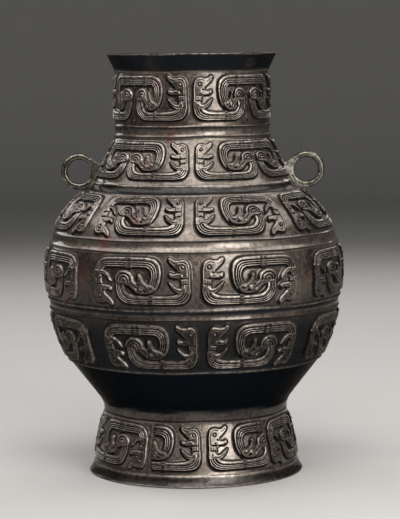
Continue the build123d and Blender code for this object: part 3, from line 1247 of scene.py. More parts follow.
@dataclass(frozen=True)
class Carving:
    """A modelled patch of relief: plates, with strokes and bosses on them, and a skirt on the ground."""

    plates: Sequence[Plate]
    strokes: Sequence[Stroke] = ()
    bosses: Sequence[Boss] = ()
    cell: float = 0.47
    swell: float = 0.3
    skirt: float = 1.8
    skirt_rise: float = 0.06
    skirt_flat: float = 0.8
    fillet: float = 0.9
    fillet_rise: float = 0.36
    sunk: float = 0.25
    sunk_share: float = 0.9
    foot_line: float = 0.62
    foot_start: float = 1.25
    foot_reach: float = 0.75
    foot_fade: Span = (1.6, 2.4)
    edge_wear: float = 0.75
    edge_place: float = 0.55
    edge_reach: float = 0.5
    black_depth: float = 0.6
    lip_wear: float = 0.4
    lip_place: float = 1.5
    lip_reach: float = 0.4
    boss_wear: float = 0.6
    round_steps: int = 5

    def sheet(self) -> Sheet:
        """The patch as a sheet that dips below the ground all round its skirt.

        Returns:
            The sheet, in the unit's millimetres.
        """
        outlines = [flowing(p.outline, self.round_steps, closed=True) for p in self.plates]
        margin = self.skirt + self.swell + max(p.slope for p in self.plates) / 2 + self.cell
        low = np.min([o.min(axis=0) for o in outlines], axis=0) - margin
        high = np.max([o.max(axis=0) for o in outlines], axis=0) + margin
        counts = np.ceil((high - low) / self.cell).astype(int)
        axes = [np.linspace(a, b, n + 1) for a, b, n in zip(low, high, counts)]
        across, along = np.meshgrid(*axes, indexing="ij")
        spots = np.stack([across.ravel(), along.ravel()], axis=1)
        height, dirt, wear = self.detailed(spots, *self.plated(spots, outlines))
        shape = across.shape
        flat = Sheet.grid(
            np.stack([across, along, height.reshape(shape)], axis=2), dirt.reshape(shape),
            (wear * (1 - dirt)).reshape(shape),
        )
        return flat.kept(height[flat.faces].max(axis=1) > -self.sunk * self.sunk_share)

    def plated(self, spots: np.ndarray, outlines: Sequence[np.ndarray]) -> tuple[np.ndarray, ...]:
        """The height, the dirt with a painted shadow line, and the wear that the plates give each spot.

        Args:
            spots: the places, one row each.
            outlines: the plates' outlines, in their order.

        Returns:
            Three arrays with a value for each spot.
        """
        height = np.full(len(spots), -self.sunk)
        dirt, wear = np.zeros((2, len(spots)))
        for plate, outline in zip(self.plates, outlines):
            closed = np.vstack([outline, outline[:1]])
            side = np.where(inside_outline(spots, closed), 1, -1)
            depth = distance_to_path(spots, closed) * side + self.swell
            rise = smooth_share(depth / plate.slope + 0.5)
            outside = -depth - plate.slope / 2
            round_foot = self.fillet_rise * np.clip(1 - outside / self.fillet, 0, 1)
            reach = self.skirt_rise + np.maximum((plate.height - self.skirt_rise) * rise, round_foot)
            reach = np.where(outside > self.skirt_flat * self.skirt, -self.sunk, reach)
            # A dark line round the foot of each plate: dirt and painted shadow.
            near = smooth_share(self.foot_start - outside / (self.foot_reach * self.skirt))
            dirt_and_shadow_line = self.foot_line * near * smooth_share(self.foot_fade[0] - self.foot_fade[1] * rise)
            edge = self.edge_wear * bell((depth - self.edge_place * plate.slope) / self.edge_reach)
            over = reach > height
            dirt = np.where(over, np.maximum(dirt_and_shadow_line, plate.stain * (rise > 0.5)), dirt)
            wear = np.where(over, edge, wear)
            height = np.maximum(height, reach)
        return height, dirt, wear

    def detailed(self, spots: np.ndarray, height: np.ndarray, dirt: np.ndarray,
                 wear: np.ndarray) -> tuple[np.ndarray, ...]:
        """The same three after the strokes and the bosses are cut into the plates or set on them.

        Args:
            spots: the places, one row each.
            height: their heights.
            dirt: their dirt, painted shadow included.
            wear: their wear.

        Returns:
            The three arrays after the work.
        """
        raised = height > self.skirt_rise * 2
        for stroke in self.strokes:
            away = distance_to_path(spots, flowing(stroke.path, self.round_steps))
            share = np.clip(1 - (away / stroke.width) ** 2, 0, 1) * raised
            height = height + stroke.rise * share
            if stroke.rise < 0:
                # Grooves darken with their depth: dirt and painted shadow.
                dirt = np.maximum(dirt, share * min(-stroke.rise / self.black_depth, 1))
                lip = bell((away - self.lip_place * stroke.width) / self.lip_reach) * raised
                wear = np.maximum(wear, self.lip_wear * lip)
            else:
                wear = np.maximum(wear, share)
        for boss in self.bosses:
            away = np.linalg.norm(spots - boss.center, axis=1)
            dome = np.sqrt(np.clip(1 - (away / boss.radius) ** 2, 0, 1))
            height = height + boss.rise * dome
            if boss.rise > 0:
                wear, dirt = np.maximum(wear, self.boss_wear * dome), dirt * (1 - dome)
            else:
                dirt = np.maximum(dirt, dome)
        return height, dirt, wear


@dataclass(frozen=True)
class RibSection:
    """The section across a dragon's body, as shares of its width: even ridges between two skirts."""

    ridges: int = 4
    outer_border: float = 0.0
    inner_border: float = 0.0
    border_wear: float = 0.6
    skirt: float = 0.25
    slope: float = 0.07
    groove: float = 0.45
    groove_place: float = 0.12
    flank_place: float = 0.3
    flank: tuple[float, float, float] = (0.9, 0.2, 0.3)
    # The dirt on the skirt and the slope is dirt and painted shadow round the body.
    edge_rows: Sequence[tuple[float, float, float, float, float]] = (
        (-1, -1, -0.12, 0, 0), (-1, -0.8, 0.03, 0, 0), (-1, -0.55, 0.05, 0.4, 0),
        (-1, 0, 0.24, 0.85, 0), (0, 0, 0.66, 0.6, 0), (1, 0, 0.95, 0, 0.8),
    )

    def edge(self) -> list[tuple[float, ...]]:
        """Rows of the edge, from (slopes, skirts, height, dirt, wear): a skirt and the slope up, darkened
        with dirt and painted shadow.
        """
        return [
            (slopes * self.slope + skirts * self.skirt, *rest) for slopes, skirts, *rest in self.edge_rows
        ]

    def rows(self) -> np.ndarray:
        """Rows of (place across, height, dirt, wear) from the outer edge to the inner one.

        Returns:
            An array with one row for each point of the section.
        """
        made = self.edge()
        pitch = (1 - self.outer_border - self.inner_border) / self.ridges
        borders = {0: self.outer_border, self.ridges - 1: self.inner_border}
        bottom = (1 - self.groove, 1, 0)
        to_groove, to_flank = self.groove_place * pitch, self.flank_place * pitch
        start = 0.0
        for ridge in range(self.ridges):
            width = pitch + borders.get(ridge, 0)
            end = start + width
            if ridge > 0:
                made += [(start + to_groove, *bottom), (start + to_flank, *self.flank)]
            made.append((start + width / 2, 1, 0, self.border_wear if width > pitch else 1))
            if ridge < self.ridges - 1:
                made += [(end - to_flank, *self.flank), (end - to_groove, *bottom)]
            start = end
        made += [(1 - across, *rest) for across, *rest in self.edge()[::-1]]
        return np.array(made, float)


@dataclass(frozen=True)
class RibbedBody:
    """A dragon's ribbed body: rows of (outer u, outer v, inner u, inner v) that its edges pass through."""

    edges: Sequence[tuple[float, float, float, float]]
    section: RibSection
    steps: int = 4
    end_sink: float = 0.55
    uneven: float = 0.06
    uneven_steps: Span = (1.9, 2.3)

    def sheet(self, relief: float) -> Sheet:
        """The body as a sheet of a given height, sunk a little at both ends under what it runs into.

        Args:
            relief: the height of the ridges.

        Returns:
            The sheet, in the unit's millimetres.
        """
        rows = flowing(self.edges, self.steps)
        across, height, dirt, wear = self.section.rows().T
        outer, inner = rows[:, None, :2], rows[:, None, 2:]
        flat = outer + (inner - outer) * across[None, :, None]
        along = np.arange(len(rows))
        ends = np.minimum(along, along[::-1]) / self.steps
        lift = self.end_sink + (1 - self.end_sink) * smooth_share(ends)
        step_along, step_across = self.uneven_steps
        phase = step_along * along[:, None] + step_across * np.arange(len(across))
        hand_cut = 1 + self.uneven * np.sin(phase)
        tall = relief * height[None] * np.where(height[None] > 0, lift[:, None] * hand_cut, 1)
        stains = (np.broadcast_to(values, tall.shape) for values in (dirt, wear))
        made = Sheet.grid(np.dstack([flat, tall]), *stains)
        made.faces = made.faces[:, ::-1] if self.runs_backwards(rows) else made.faces
        return made

    @staticmethod
    def runs_backwards(rows: np.ndarray) -> bool:
        """Whether the inner edge lies to the right of the way the body runs, which turns its faces over."""
        run, across = rows[1, :2] - rows[0, :2], rows[0, 2:] - rows[0, :2]
        return run[0] * across[1] - run[1] * across[0] < 0


HEAD = Carving(
    plates=(
        Plate((
            (0.4, 10.7), (0.3, 20), (0.5, 30.0), (1.3, 34.8), (3.6, 37.8), (7.2, 38.6), (10.8, 37.8),
            (13.6, 38.3), (15.8, 39.9), (17.8, 40.1), (18.4, 38.2), (17.2, 35.6), (15.2, 33.4), (13.2, 31.6),
            (10.9, 29.2), (12.4, 27.0), (14.4, 27.2), (16.2, 28.0), (17.6, 27.2), (17.4, 25.0), (15.4, 23.5),
            (12.4, 23.2), (9.9, 22.9), (8.3, 21.6), (7.9, 18.6), (8.0, 15.2), (8.8, 12.6), (5.6, 11.2),
            (2.6, 10.6),
        ), height=1.9, slope=1.0),
        Plate((
            (17.6, 20.4), (16.2, 16.6), (13.8, 13.5), (10.9, 11.5), (7.8, 10.6), (4.9, 11.3), (3.4, 14.0),
            (3.9, 16.8), (6.0, 17.0), (7.6, 15.4), (10.4, 15.4), (13.2, 17.3), (15.6, 19.4),
        ), height=2.2, slope=1.0),
    ),
    strokes=(
        Stroke(((2.3, 18), (2.3, 24), (2.4, 30.6), (3.6, 34.4), (6.4, 36.2), (9.8, 35.8)), 0.45, -0.35),
        Stroke(((4.5, 21.4), (4.4, 16.4)), 0.4, -0.3),
        Stroke(((6.4, 21.2), (6.3, 16.4)), 0.4, -0.3),
        Stroke(((3.4, 23.2), (6.4, 22.8), (9.4, 22.7)), 0.65, -1.0),
        Stroke(((11.4, 28.2), (9.8, 27.6), (8.4, 28.0)), 0.6, -0.7),
        Stroke(((5.6, 12.8), (8.2, 12.5), (11.0, 13.3), (13.4, 15.0), (15.4, 17.5)), 0.45, -0.5),
        Stroke(((3.2, 18.2), (5.6, 18.5), (8.0, 17.0)), 0.55, -0.9),
        Stroke(((12.6, 34.6), (14.8, 36.0), (16.4, 38.0)), 0.42, -0.3),
    ),
    bosses=(Boss((6.2, 32.3), 2.2, -0.5), Boss((6.2, 32.3), 1.3, 1.1), Boss((15.9, 25.6), 1.5, 0.3),
            Boss((7.4, 25.4), 1.0, 0.5)),
    swell=-0.2,
)

LINK = Carving(
    plates=(
        Plate((
            (29.6, 15.0), (31.0, 12.2), (34.6, 10.5), (39.6, 10.2), (44.2, 11.2), (47.3, 13.7), (50.3, 16.6),
            (54.4, 18.4), (55.4, 21.8), (51.5, 23.4), (48.2, 22.0), (46.2, 19.6), (44.2, 18.6), (42.9, 20.2),
            (42.8, 22.8), (43.0, 25.2), (41.9, 26.4), (40.5, 25.2), (39.8, 22.6), (38.3, 19.7), (35.5, 17.8),
            (32.2, 17.2),
        ), height=2.5, slope=2.0, stain=0.4),
        Plate((
            (47.4, 21.6), (48.4, 25.2), (51.4, 27.8), (55.4, 28.7), (59.6, 27.8), (62.4, 25.2), (63.0, 21.8),
            (61.2, 19.8), (57.3, 18.6), (53.4, 18.5), (49.8, 19.4),
        ), height=2.2, slope=1.6),
    ),
    strokes=(
        Stroke(((49.4, 20.6), (50.6, 24.2), (54.0, 26.5), (57.8, 26.1), (60.6, 23.8), (61.0, 20.8)),
               0.7, -1.1),
        Stroke(((51.9, 20.4), (53.2, 23.3), (55.8, 24.2), (58.2, 22.9), (58.8, 20.4)), 0.65, -1.1),
        Stroke(((54.3, 20.2), (55.5, 21.6), (56.7, 20.4)), 0.55, -0.9),
        Stroke(((48.8, 19.0), (46.2, 16.4), (43.2, 14.6)), 0.6, -0.6),
        Stroke(((31.8, 15.0), (34.8, 14.2), (37.2, 15.6)), 0.5, -0.5),
    ),
    bosses=(Boss((40.2, 15.0), 2.3, 0.5), Boss((35.0, 16.0), 1.3, 0.3), Boss((44.6, 13.6), 1.3, 0.3),
            Boss((41.8, 24.8), 1.1, 0.4), Boss((43.0, 17.4), 0.9, -0.9), Boss((37.4, 12.6), 1.1, -0.9)),
    cell=0.52, swell=0.5,
)

LOWER_TIE = Carving(
    plates=(
        Plate(((30.6, 1.8), (34.2, 1.8), (34.2, 5.2), (34.2, 8.6), (30.6, 8.6), (30.6, 5.2)),
              height=1.95, slope=0.7, stain=0.5),
    ),
    strokes=(Stroke(((30.8, 4.3), (34.0, 4.3)), 0.45, -0.5), Stroke(((30.8, 6.5), (34.0, 6.5)), 0.45, -0.5)),
)
UPPER_TIE = Carving(
    plates=(
        Plate(((48.6, 31.8), (55.4, 31.8), (55.4, 35), (55.4, 39.2), (48.6, 39.2), (48.6, 35)),
              height=1.95, slope=0.7, stain=0.5),
    ),
    strokes=(Stroke(((52, 31.8), (52, 39)), 0.5, -0.6), Stroke(((48.8, 34.2), (55.2, 34.2)), 0.45, -0.5),
             Stroke(((48.8, 36.8), (55.2, 36.8)), 0.45, -0.5)),
)

LOWER_BODY = RibbedBody(
    edges=(
        (0.5, 15.2, 8.4, 14.0), (0.7, 10.4, 9.4, 12.1), (2.2, 6.1, 11.1, 10.4), (5.5, 2.9, 13.7, 9.4),
        (10.5, 1.6, 17.5, 8.8), (20, 1.5, 22, 8.5), (31, 1.5, 31, 8.4), (42, 1.5, 41, 8.4),
        (50.5, 1.7, 46.6, 8.7), (55.9, 2.9, 50.5, 9.7), (59.9, 6.4, 53.3, 11.8), (62.2, 11.8, 54.9, 14.9),
        (63.0, 19.6, 55.5, 19.4),
    ),
    section=RibSection(inner_border=0.2),
)
UPPER_BODY = RibbedBody(
    edges=(
        (28.4, 13.2, 34.6, 17.4), (25.6, 17.8, 32.9, 20.6), (24.1, 24.2, 32.0, 24.4),
        (24.1, 30.2, 32.5, 27.9), (25.6, 35.2, 33.9, 30.2), (29.4, 38.6, 36.2, 31.5),
        (35.5, 39.9, 39.8, 31.9), (45, 40.0, 46, 31.9), (55, 40.0, 55, 31.9), (65, 39.9, 63, 31.8),
        (73.4, 39.3, 69.4, 31.7), (78.7, 37.5, 73.0, 31.2), (82.0, 33.6, 74.6, 29.6),
        (83.3, 28, 75.2, 27.4), (83.5, 24.4, 75.6, 25.8),
    ),
    section=RibSection(outer_border=0.14),
)


@dataclass(frozen=True)
class DragonUnit:
    """One unit of the ornament: two dragons whose ribbed bodies lock in an S, drawn from the first head.

    The drawing is in millimetres at the belly's scale, u to the right and v up.
    """

    name: str
    squeeze: Points = ((0, 0), (84, 84))
    cut: float | None = None
    meets: bool = False
    relief: float = 1.85
    seam_rise: float = 0.3
    cut_sink: float = 0.4
    width: float = 84.0
    height: float = 40.0

    def sheet(self) -> Sheet:
        """The whole unit as a flat sheet, squeezed along u and cut off where the unit is cut.

        Returns:
            The sheet.
        """
        head = HEAD.sheet()
        carved = [carving.sheet() for carving in (LINK, LOWER_TIE, UPPER_TIE)]
        ribbed = [body.sheet(self.relief) for body in (LOWER_BODY, UPPER_BODY)]
        whole = Sheet.joined([head, head.turned_about((self.width / 2, self.height / 2)), *carved, *ribbed])
        drawn, kept = np.asarray(self.squeeze, float).T
        whole.spots[:, 0] = np.interp(whole.spots[:, 0], drawn, kept) + np.minimum(whole.spots[:, 0], 0)
        whole.spots[:, 0] += np.maximum(whole.spots[:, 0] - kept[-1], 0)
        return whole if self.cut is None else self.cut_off(whole)

    def cut_off(self, whole: Sheet) -> Sheet:
        """The sheet without what lies past the cut, flush there or with a steep end.

        Args:
            whole: the uncut sheet.

        Returns:
            The cut sheet.
        """
        beyond = whole.spots[:, 0] > self.cut
        kept = whole.kept(~beyond[whole.faces].all(axis=1))
        over = kept.spots[:, 0] > self.cut
        kept.spots[over, 0] = self.cut
        if self.meets:
            kept.wear[over] = 1.0
            kept.spots[over, 2] += self.seam_rise * (kept.spots[over, 2] > self.relief / 2)
        else:
            kept.spots[over, 2] = np.minimum(kept.spots[over, 2], -self.cut_sink)
            kept.dirt[over] = 1.0
        return kept

    def object(self) -> Object:
        """The unit as an object that the frieze tree copies."""
        return bpy.data.objects.new(self.name, self.sheet().mesh(self.name))


@dataclass(frozen=True)
class Placement:
    """Where a unit stands on its band: its head axis in degrees, which way it runs and which unit it is."""

    axis: float
    hand: Hand
    variant: int = 0


def four_pairs(axis: float) -> tuple[Placement, ...]:
    """Four mirrored pairs of units, a quarter turn apart."""
    return tuple(Placement(axis + QUARTER * quarter, hand) for quarter in range(4) for hand in Hand)


@dataclass(frozen=True)
class Frieze:
    """A band of dragon units that lies on a zone of a casting's profile."""

    name: str
    zone: str
    units: Sequence[DragonUnit]
    placements: Sequence[Placement]
    scale: float
    degrees_per_mm: float
    half_gap: float
    tilt_shares: Span = (0.65, 0.75)
    shadow_start: float = 0.13
    shadow_fade: float = 0.16
    highlight_start: float = 0.25
    highlight_fade: float = 0.4
    # Strength of the painted highlight, stored as wear, on faces that turn right or up.
    rubbed: float = 0.8

    def build(self, profile: TurnedProfile, curve: Object, tree: NodeTree, finish: Material) -> Object:
        """Wraps the band's units round its zone.

        Args:
            profile: the casting's profile.
            curve: the same profile as a curve object.
            tree: the frieze tree.
            finish: the material of the relief.

        Returns:
            The frieze as one object with a plain mesh.
        """
        start, end = profile.span(self.zone)
        rise = (start + end - self.units[0].height * self.scale) / 2
        store = bpy.data.collections.new(self.name + "_units")
        for unit in self.units:
            store.objects.link(unit.object())
        sides = [p.hand.value for p in self.placements]
        turns = [math.radians(p.axis + p.hand.value * self.half_gap) for p in self.placements]
        points = bpy.data.meshes.new(self.name)
        points.from_pydata([(turn, rise * MM, -FIELD_DEPTH * MM) for turn in turns], [], [])
        points.attributes.new("side", "FLOAT", "POINT").data.foreach_set("value", sides)
        points.attributes.new("variant", "INT", "POINT").data.foreach_set(
            "value", [p.variant for p in self.placements]
        )
        piece = linked(self.name, points)
        grown(piece, tree, {
            "Profile": curve, "Units": store, "Turn": math.radians(self.degrees_per_mm),
            "Scale": self.scale * MM, "Finish": finish,
        })
        for unit in list(store.objects):
            bpy.data.objects.remove(unit)
        bpy.data.collections.remove(store)
        # Painted shade where the frieze faces down and in the dark zones.
        paint(piece.data, StainAndPaintedLight.SHADE, PAINTED_UNDER_SHADE.shade(profile, triples(piece.data.vertices, "co")))
        self.age(profile, piece.data)
        return piece

    def age(self, profile: TurnedProfile, mesh: Mesh) -> None:
        """Paints shadow into the dirt where the relief faces left or down on its wall, and a highlight into
        the wear where it faces right or up.

        Args:
            profile: the casting's profile.
            mesh: the frieze's mesh.
        """
        spots, normals = triples(mesh.vertices, "co"), triples(mesh.vertices, "normal")
        right = np.stack([-spots[:, 1], spots[:, 0]], axis=1) / np.hypot(spots[:, 0], spots[:, 1])[:, None]
        left_share, down_share = self.tilt_shares
        tilt_left = -(normals[:, :2] * right).sum(axis=1)
        tilt_down = profile.lean(profile.outer_lengths(spots)) - normals[:, 2]
        tilt = left_share * tilt_left + down_share * tilt_down
        painted_shadow = smooth_share((tilt - self.shadow_start) / self.shadow_fade)
        # Painted highlight, stored as wear, on faces that turn right or up.
        rubbed = self.rubbed * smooth_share((-tilt - self.highlight_start) / self.highlight_fade)
        dirt = np.maximum(painted(mesh, StainAndPaintedLight.DIRT), painted_shadow)
        paint(mesh, StainAndPaintedLight.DIRT, dirt)
        paint(mesh, StainAndPaintedLight.WEAR, np.maximum(painted(mesh, StainAndPaintedLight.WEAR), rubbed) * (1 - dirt))


@dataclass(frozen=True)
class PaintedUnderShade:
    """Painted shade on a casting's outside: where it faces down, in some whole zones, and less at the waist.
    """

    depth: float = 0.9
    start: float = 0.05
    fade: float = 0.33
    bright_share: float = 0.45
    edge_fade: float = 1.4
    edge_tones: Tones = ((4, math.inf, 0.6, 0.7), (9, math.inf, 2.0, 0.5))

    def shade(self, profile: TurnedProfile, spots: np.ndarray) -> np.ndarray:
        """The painted shade at each spot, from 0 to 1, with a ragged edge above the bright strip.

        Args:
            profile: the casting's profile.
            spots: the places, in metres.

        Returns:
            One value for each spot.
        """
        lengths = profile.outer_lengths(spots)
        shade = self.depth * smooth_share((self.start - profile.lean(lengths)) / self.fade)
        for zone, share in profile.painted_shade_zones.items():
            start, end = profile.span(zone)
            inside = (lengths >= start) & (lengths <= end)
            shade[inside] = np.maximum(shade[inside], share)
        turn = np.arctan2(spots[:, 0], -spots[:, 1])
        edge = profile.bright_below + waves(turn, lengths, self.edge_tones)
        above = smooth_share((spots[:, 2] / MM - edge) / self.edge_fade + 0.5)
        return shade * (self.bright_share + (1 - self.bright_share) * above)


PAINTED_UNDER_SHADE = PaintedUnderShade()
FULL_UNIT = DragonUnit("full_unit")
SHOULDER_UNIT = DragonUnit("shoulder_unit", cut=64.7, meets=True)
NECK_UNIT = DragonUnit(
    "neck_unit", squeeze=((0, 0), (20, 19), (24, 21.7), (32, 29.1), (55.3, 41.2), (63, 48.9), (84, 69.9)),
    cut=51.6, meets=True,
)
FOOT_UNITS = (
    DragonUnit("foot_unit_a", cut=57.2),
    DragonUnit("foot_unit_b", cut=44.0),
    DragonUnit("foot_unit_c", squeeze=((0, 0), (84, 72))),
    DragonUnit("foot_unit_d"),
)
FOOT_AXIS = 4.7
FOOT_PLACES = tuple(
    Placement(FOOT_AXIS + axis + half_turn, hand, variant)
    for half_turn in (0, 2 * QUARTER)
    for axis, hand, variant in (
        (0, Hand.RIGHT, 0), (0, Hand.LEFT, 1), (QUARTER, Hand.LEFT, 2), (QUARTER, Hand.RIGHT, 3),
    )
)

BODY_FRIEZES = tuple(
    Frieze(f"{place}_frieze", f"{zone}_band", (unit,), four_pairs(axis), scale, degrees_per_mm, half_gap)
    for place, zone, unit, axis, scale, degrees_per_mm, half_gap in (
        ("neck", "neck", NECK_UNIT, -1.4, 0.966, 0.836, 1.9),
        ("shoulder", "shoulder", SHOULDER_UNIT, -0.6, 0.8675, 0.6646, 2.0),
        ("upper_belly", "upper", FULL_UNIT, -1.7, 1.02, 0.4798, 2.3),
        ("middle_belly", "middle", FULL_UNIT, 0.75, 0.99, 0.457, 1.9),
        ("lower_belly", "lower", FULL_UNIT, 2.9, 1.01, 0.462, 1.7),
    )
)
FOOT_FRIEZE = Frieze(
    "foot_frieze", "foot_band", FOOT_UNITS, FOOT_PLACES, scale=0.955, degrees_per_mm=0.651, half_gap=1.9
)


# The castings


@dataclass(frozen=True)
class MouldFin:
    """A thin upright fin or scratch that a mould joint left in a plain gap: turn, half width and height."""

    turn: float
    width: float
    height: float
    zone: str


@dataclass
class TurnedCasting:
    """A casting turned from a profile, with the unevenness of hand work."""

    name: str
    node: str
    profile: TurnedProfile
    spacing: dict[str, float]
    worn_edges: Sequence[tuple[str, int]]
    dark_edges: Sequence[tuple[str, int]] = ()
    fins: Sequence[MouldFin] = ()
    painted_highlight_zones: Sequence[str] = ()
    columns: int = 272
    # How strong the painted highlight, stored as wear, is across those zones.
    polish: float = 0.5
    edge_reach: float = 0.8
    edge_sway: float = 0.28
    field_border: float = 1.3
    border_flat: float = 0.35
    band_waves: float = 0.12
    fin_fade: float = 2.0
    fin_columns: int = 3
    seam: float = 0.002
    inward: float = -1e-4
    digits: int = 5
    tones: Tones = (
        (3, 310.0, 0.4, 0.10), (7, 140.0, 1.9, 0.07), (13, -67.0, 0.9, 0.05), (29, 31.0, 2.6, 0.03),
    )
    sway_tones: Tones = ((5, math.inf, 0.7, 1.0), (11, TURN * 40.0, 0.0, 0.6))

    def turns(self) -> np.ndarray:
        """The turns at which the sheet has its columns, closer together at the fins.

        Returns:
            The turns in radians, in order.
        """
        even = list(np.linspace(0, TURN, self.columns + 1))
        for fin in self.fins:
            steps = range(-self.fin_columns, self.fin_columns + 1)
            even += [math.radians(fin.turn + fin.width * n / 2) % TURN for n in steps]
        return np.unique(np.round(even, self.digits))

    def nearest(self, along: np.ndarray, edges: Sequence[tuple[str, int]]) -> np.ndarray:
        """The distance along the profile to the nearest of some zones' ends.

        Args:
            along: lengths along the profile.
            edges: zones, each with 0 or 1 for its end.

        Returns:
            The distances.
        """
        if not edges:
            return np.full_like(along, np.inf)
        ends = np.array([self.profile.span(zone)[end] for zone, end in edges])
        return np.abs(along[..., None] - ends).min(axis=2)

    def sheet(self) -> Sheet:
        """The casting's skin as a flat sheet, with waves, fins and stains, painted shadow at the dark edges
        and painted highlight in the middle of some zones.

        Returns:
            The sheet, with turns across and metres up.
        """
        turns = self.turns()
        rows = self.profile.stations(self.spacing)
        turn, along = np.meshgrid(turns, rows, indexing="ij")
        height = waves(turn, along, self.tones)
        for zone in (z for z in self.profile.zones if z.endswith("band")):
            low, high = self.profile.span(zone)
            height = height * np.where((along >= low) & (along <= high), self.band_waves, 1)
            depth = np.minimum(along - low, high - along) / self.field_border
            height = height - FIELD_DEPTH * smooth_share(depth - self.border_flat)
        for fin in self.fins:
            low, high = self.profile.span(fin.zone)
            away = np.degrees((turn - math.radians(fin.turn) + math.pi) % TURN - math.pi)
            fade_in, fade_out = (smooth_share(gap / self.fin_fade) for gap in (along - low, high - along))
            height = height + fin.height * fade_in * fade_out * bell(away / fin.width)
        # Wear along the worn edges; dirt and painted shadow along the dark edges.
        wear, dirt_and_shadow = (
            bell(self.nearest(along, edges) / self.edge_reach) for edges in (self.worn_edges, self.dark_edges)
        )
        # Painted highlight, stored as wear, across the middle of the listed zones.
        for zone in self.painted_highlight_zones:
            low, high = self.profile.span(zone)
            middle = np.clip(1 - (2 * (along - low) / (high - low) - 1) ** 2, 0, 1)
            wear = np.maximum(wear, self.polish * middle)
        free = np.clip(np.minimum(along, rows[-1] - along), 0, 1)
        sway = self.edge_sway * free * waves(turn, along, self.sway_tones)
        flat = np.stack([turn, (along + sway) * MM, height * free * MM], axis=2)
        return Sheet.grid(flat, dirt_and_shadow, wear)

    def build(self, curve: Object, tree: NodeTree, finish: Material, inside: Material) -> Object:
        """Turns the sheet round the profile and dresses its outside and its inside.

        Args:
            curve: the profile as a curve object.
            tree: the turning tree.
            finish: the material of the outside.
            inside: the material of the inside.

        Returns:
            The casting as one object with a plain mesh.
        """
        piece = linked(self.name, self.sheet().mesh(self.name))
        grown(piece, tree, {"Profile": curve, "Seam": self.seam * MM, "Finish": finish})
        mesh = piece.data
        normals, centers = (triples(mesh.polygons, name)[:, :2] for name in ("normal", "center"))
        inner = (normals * centers).sum(axis=1) < self.inward
        mesh.materials.append(inside)
        mesh.polygons.foreach_set("material_index", inner.astype(np.int32))
        # Painted shade on the outside where it faces down and in the dark zones.
        paint(mesh, StainAndPaintedLight.SHADE, PAINTED_UNDER_SHADE.shade(self.profile, triples(mesh.vertices, "co")))
        return piece


WORN_EDGES = (
    ("ridge", 0), ("ridge", 1), ("lower_channel", 1), ("lip", 0), ("lip", 1), ("shoulder_channel", 1),
)
# Dark lines under the bands' edges and at the waist joint: dirt and painted shadow.
DARK_EDGES = (
    ("lower_band", 1), ("middle_band", 1), ("upper_channel", 1), ("upper_band", 1), ("shoulder_band", 1),
    ("neck_channel", 1), ("neck_band", 1), ("waist", 0),
)
BODY_FINS = tuple(
    MouldFin(quarter * QUARTER + turn, width, height, "middle_band")
    for quarter in range(4)
    for turn, width, height in ((44.2, 0.3, -0.12), (46.6, 0.35, 0.10))
)
FOOT_FINS = (MouldFin(-27.2, 0.55, 0.45, "foot_band"), MouldFin(152.8, 0.55, 0.45, "foot_band"))


def casting_spacing(profile: TurnedProfile, outside: float, inside: float) -> dict[str, float]:
    """The distance between a sheet's rows in each zone of a profile.

    Args:
        profile: the casting's profile.
        outside: the distance on the outside.
        inside: the distance on hidden sides.

    Returns:
        The distance for each zone.
    """
    hidden = ("inside", "under", "socket", "rest")
    rows = {zone: inside if zone.startswith(hidden) else outside for zone in profile.zones}
    fine = [zone for zone in profile.zones if "channel" in zone or zone in ("ridge", "lip")]
    return {**rows, **dict.fromkeys(fine, outside / 2)}


# Rings and solder


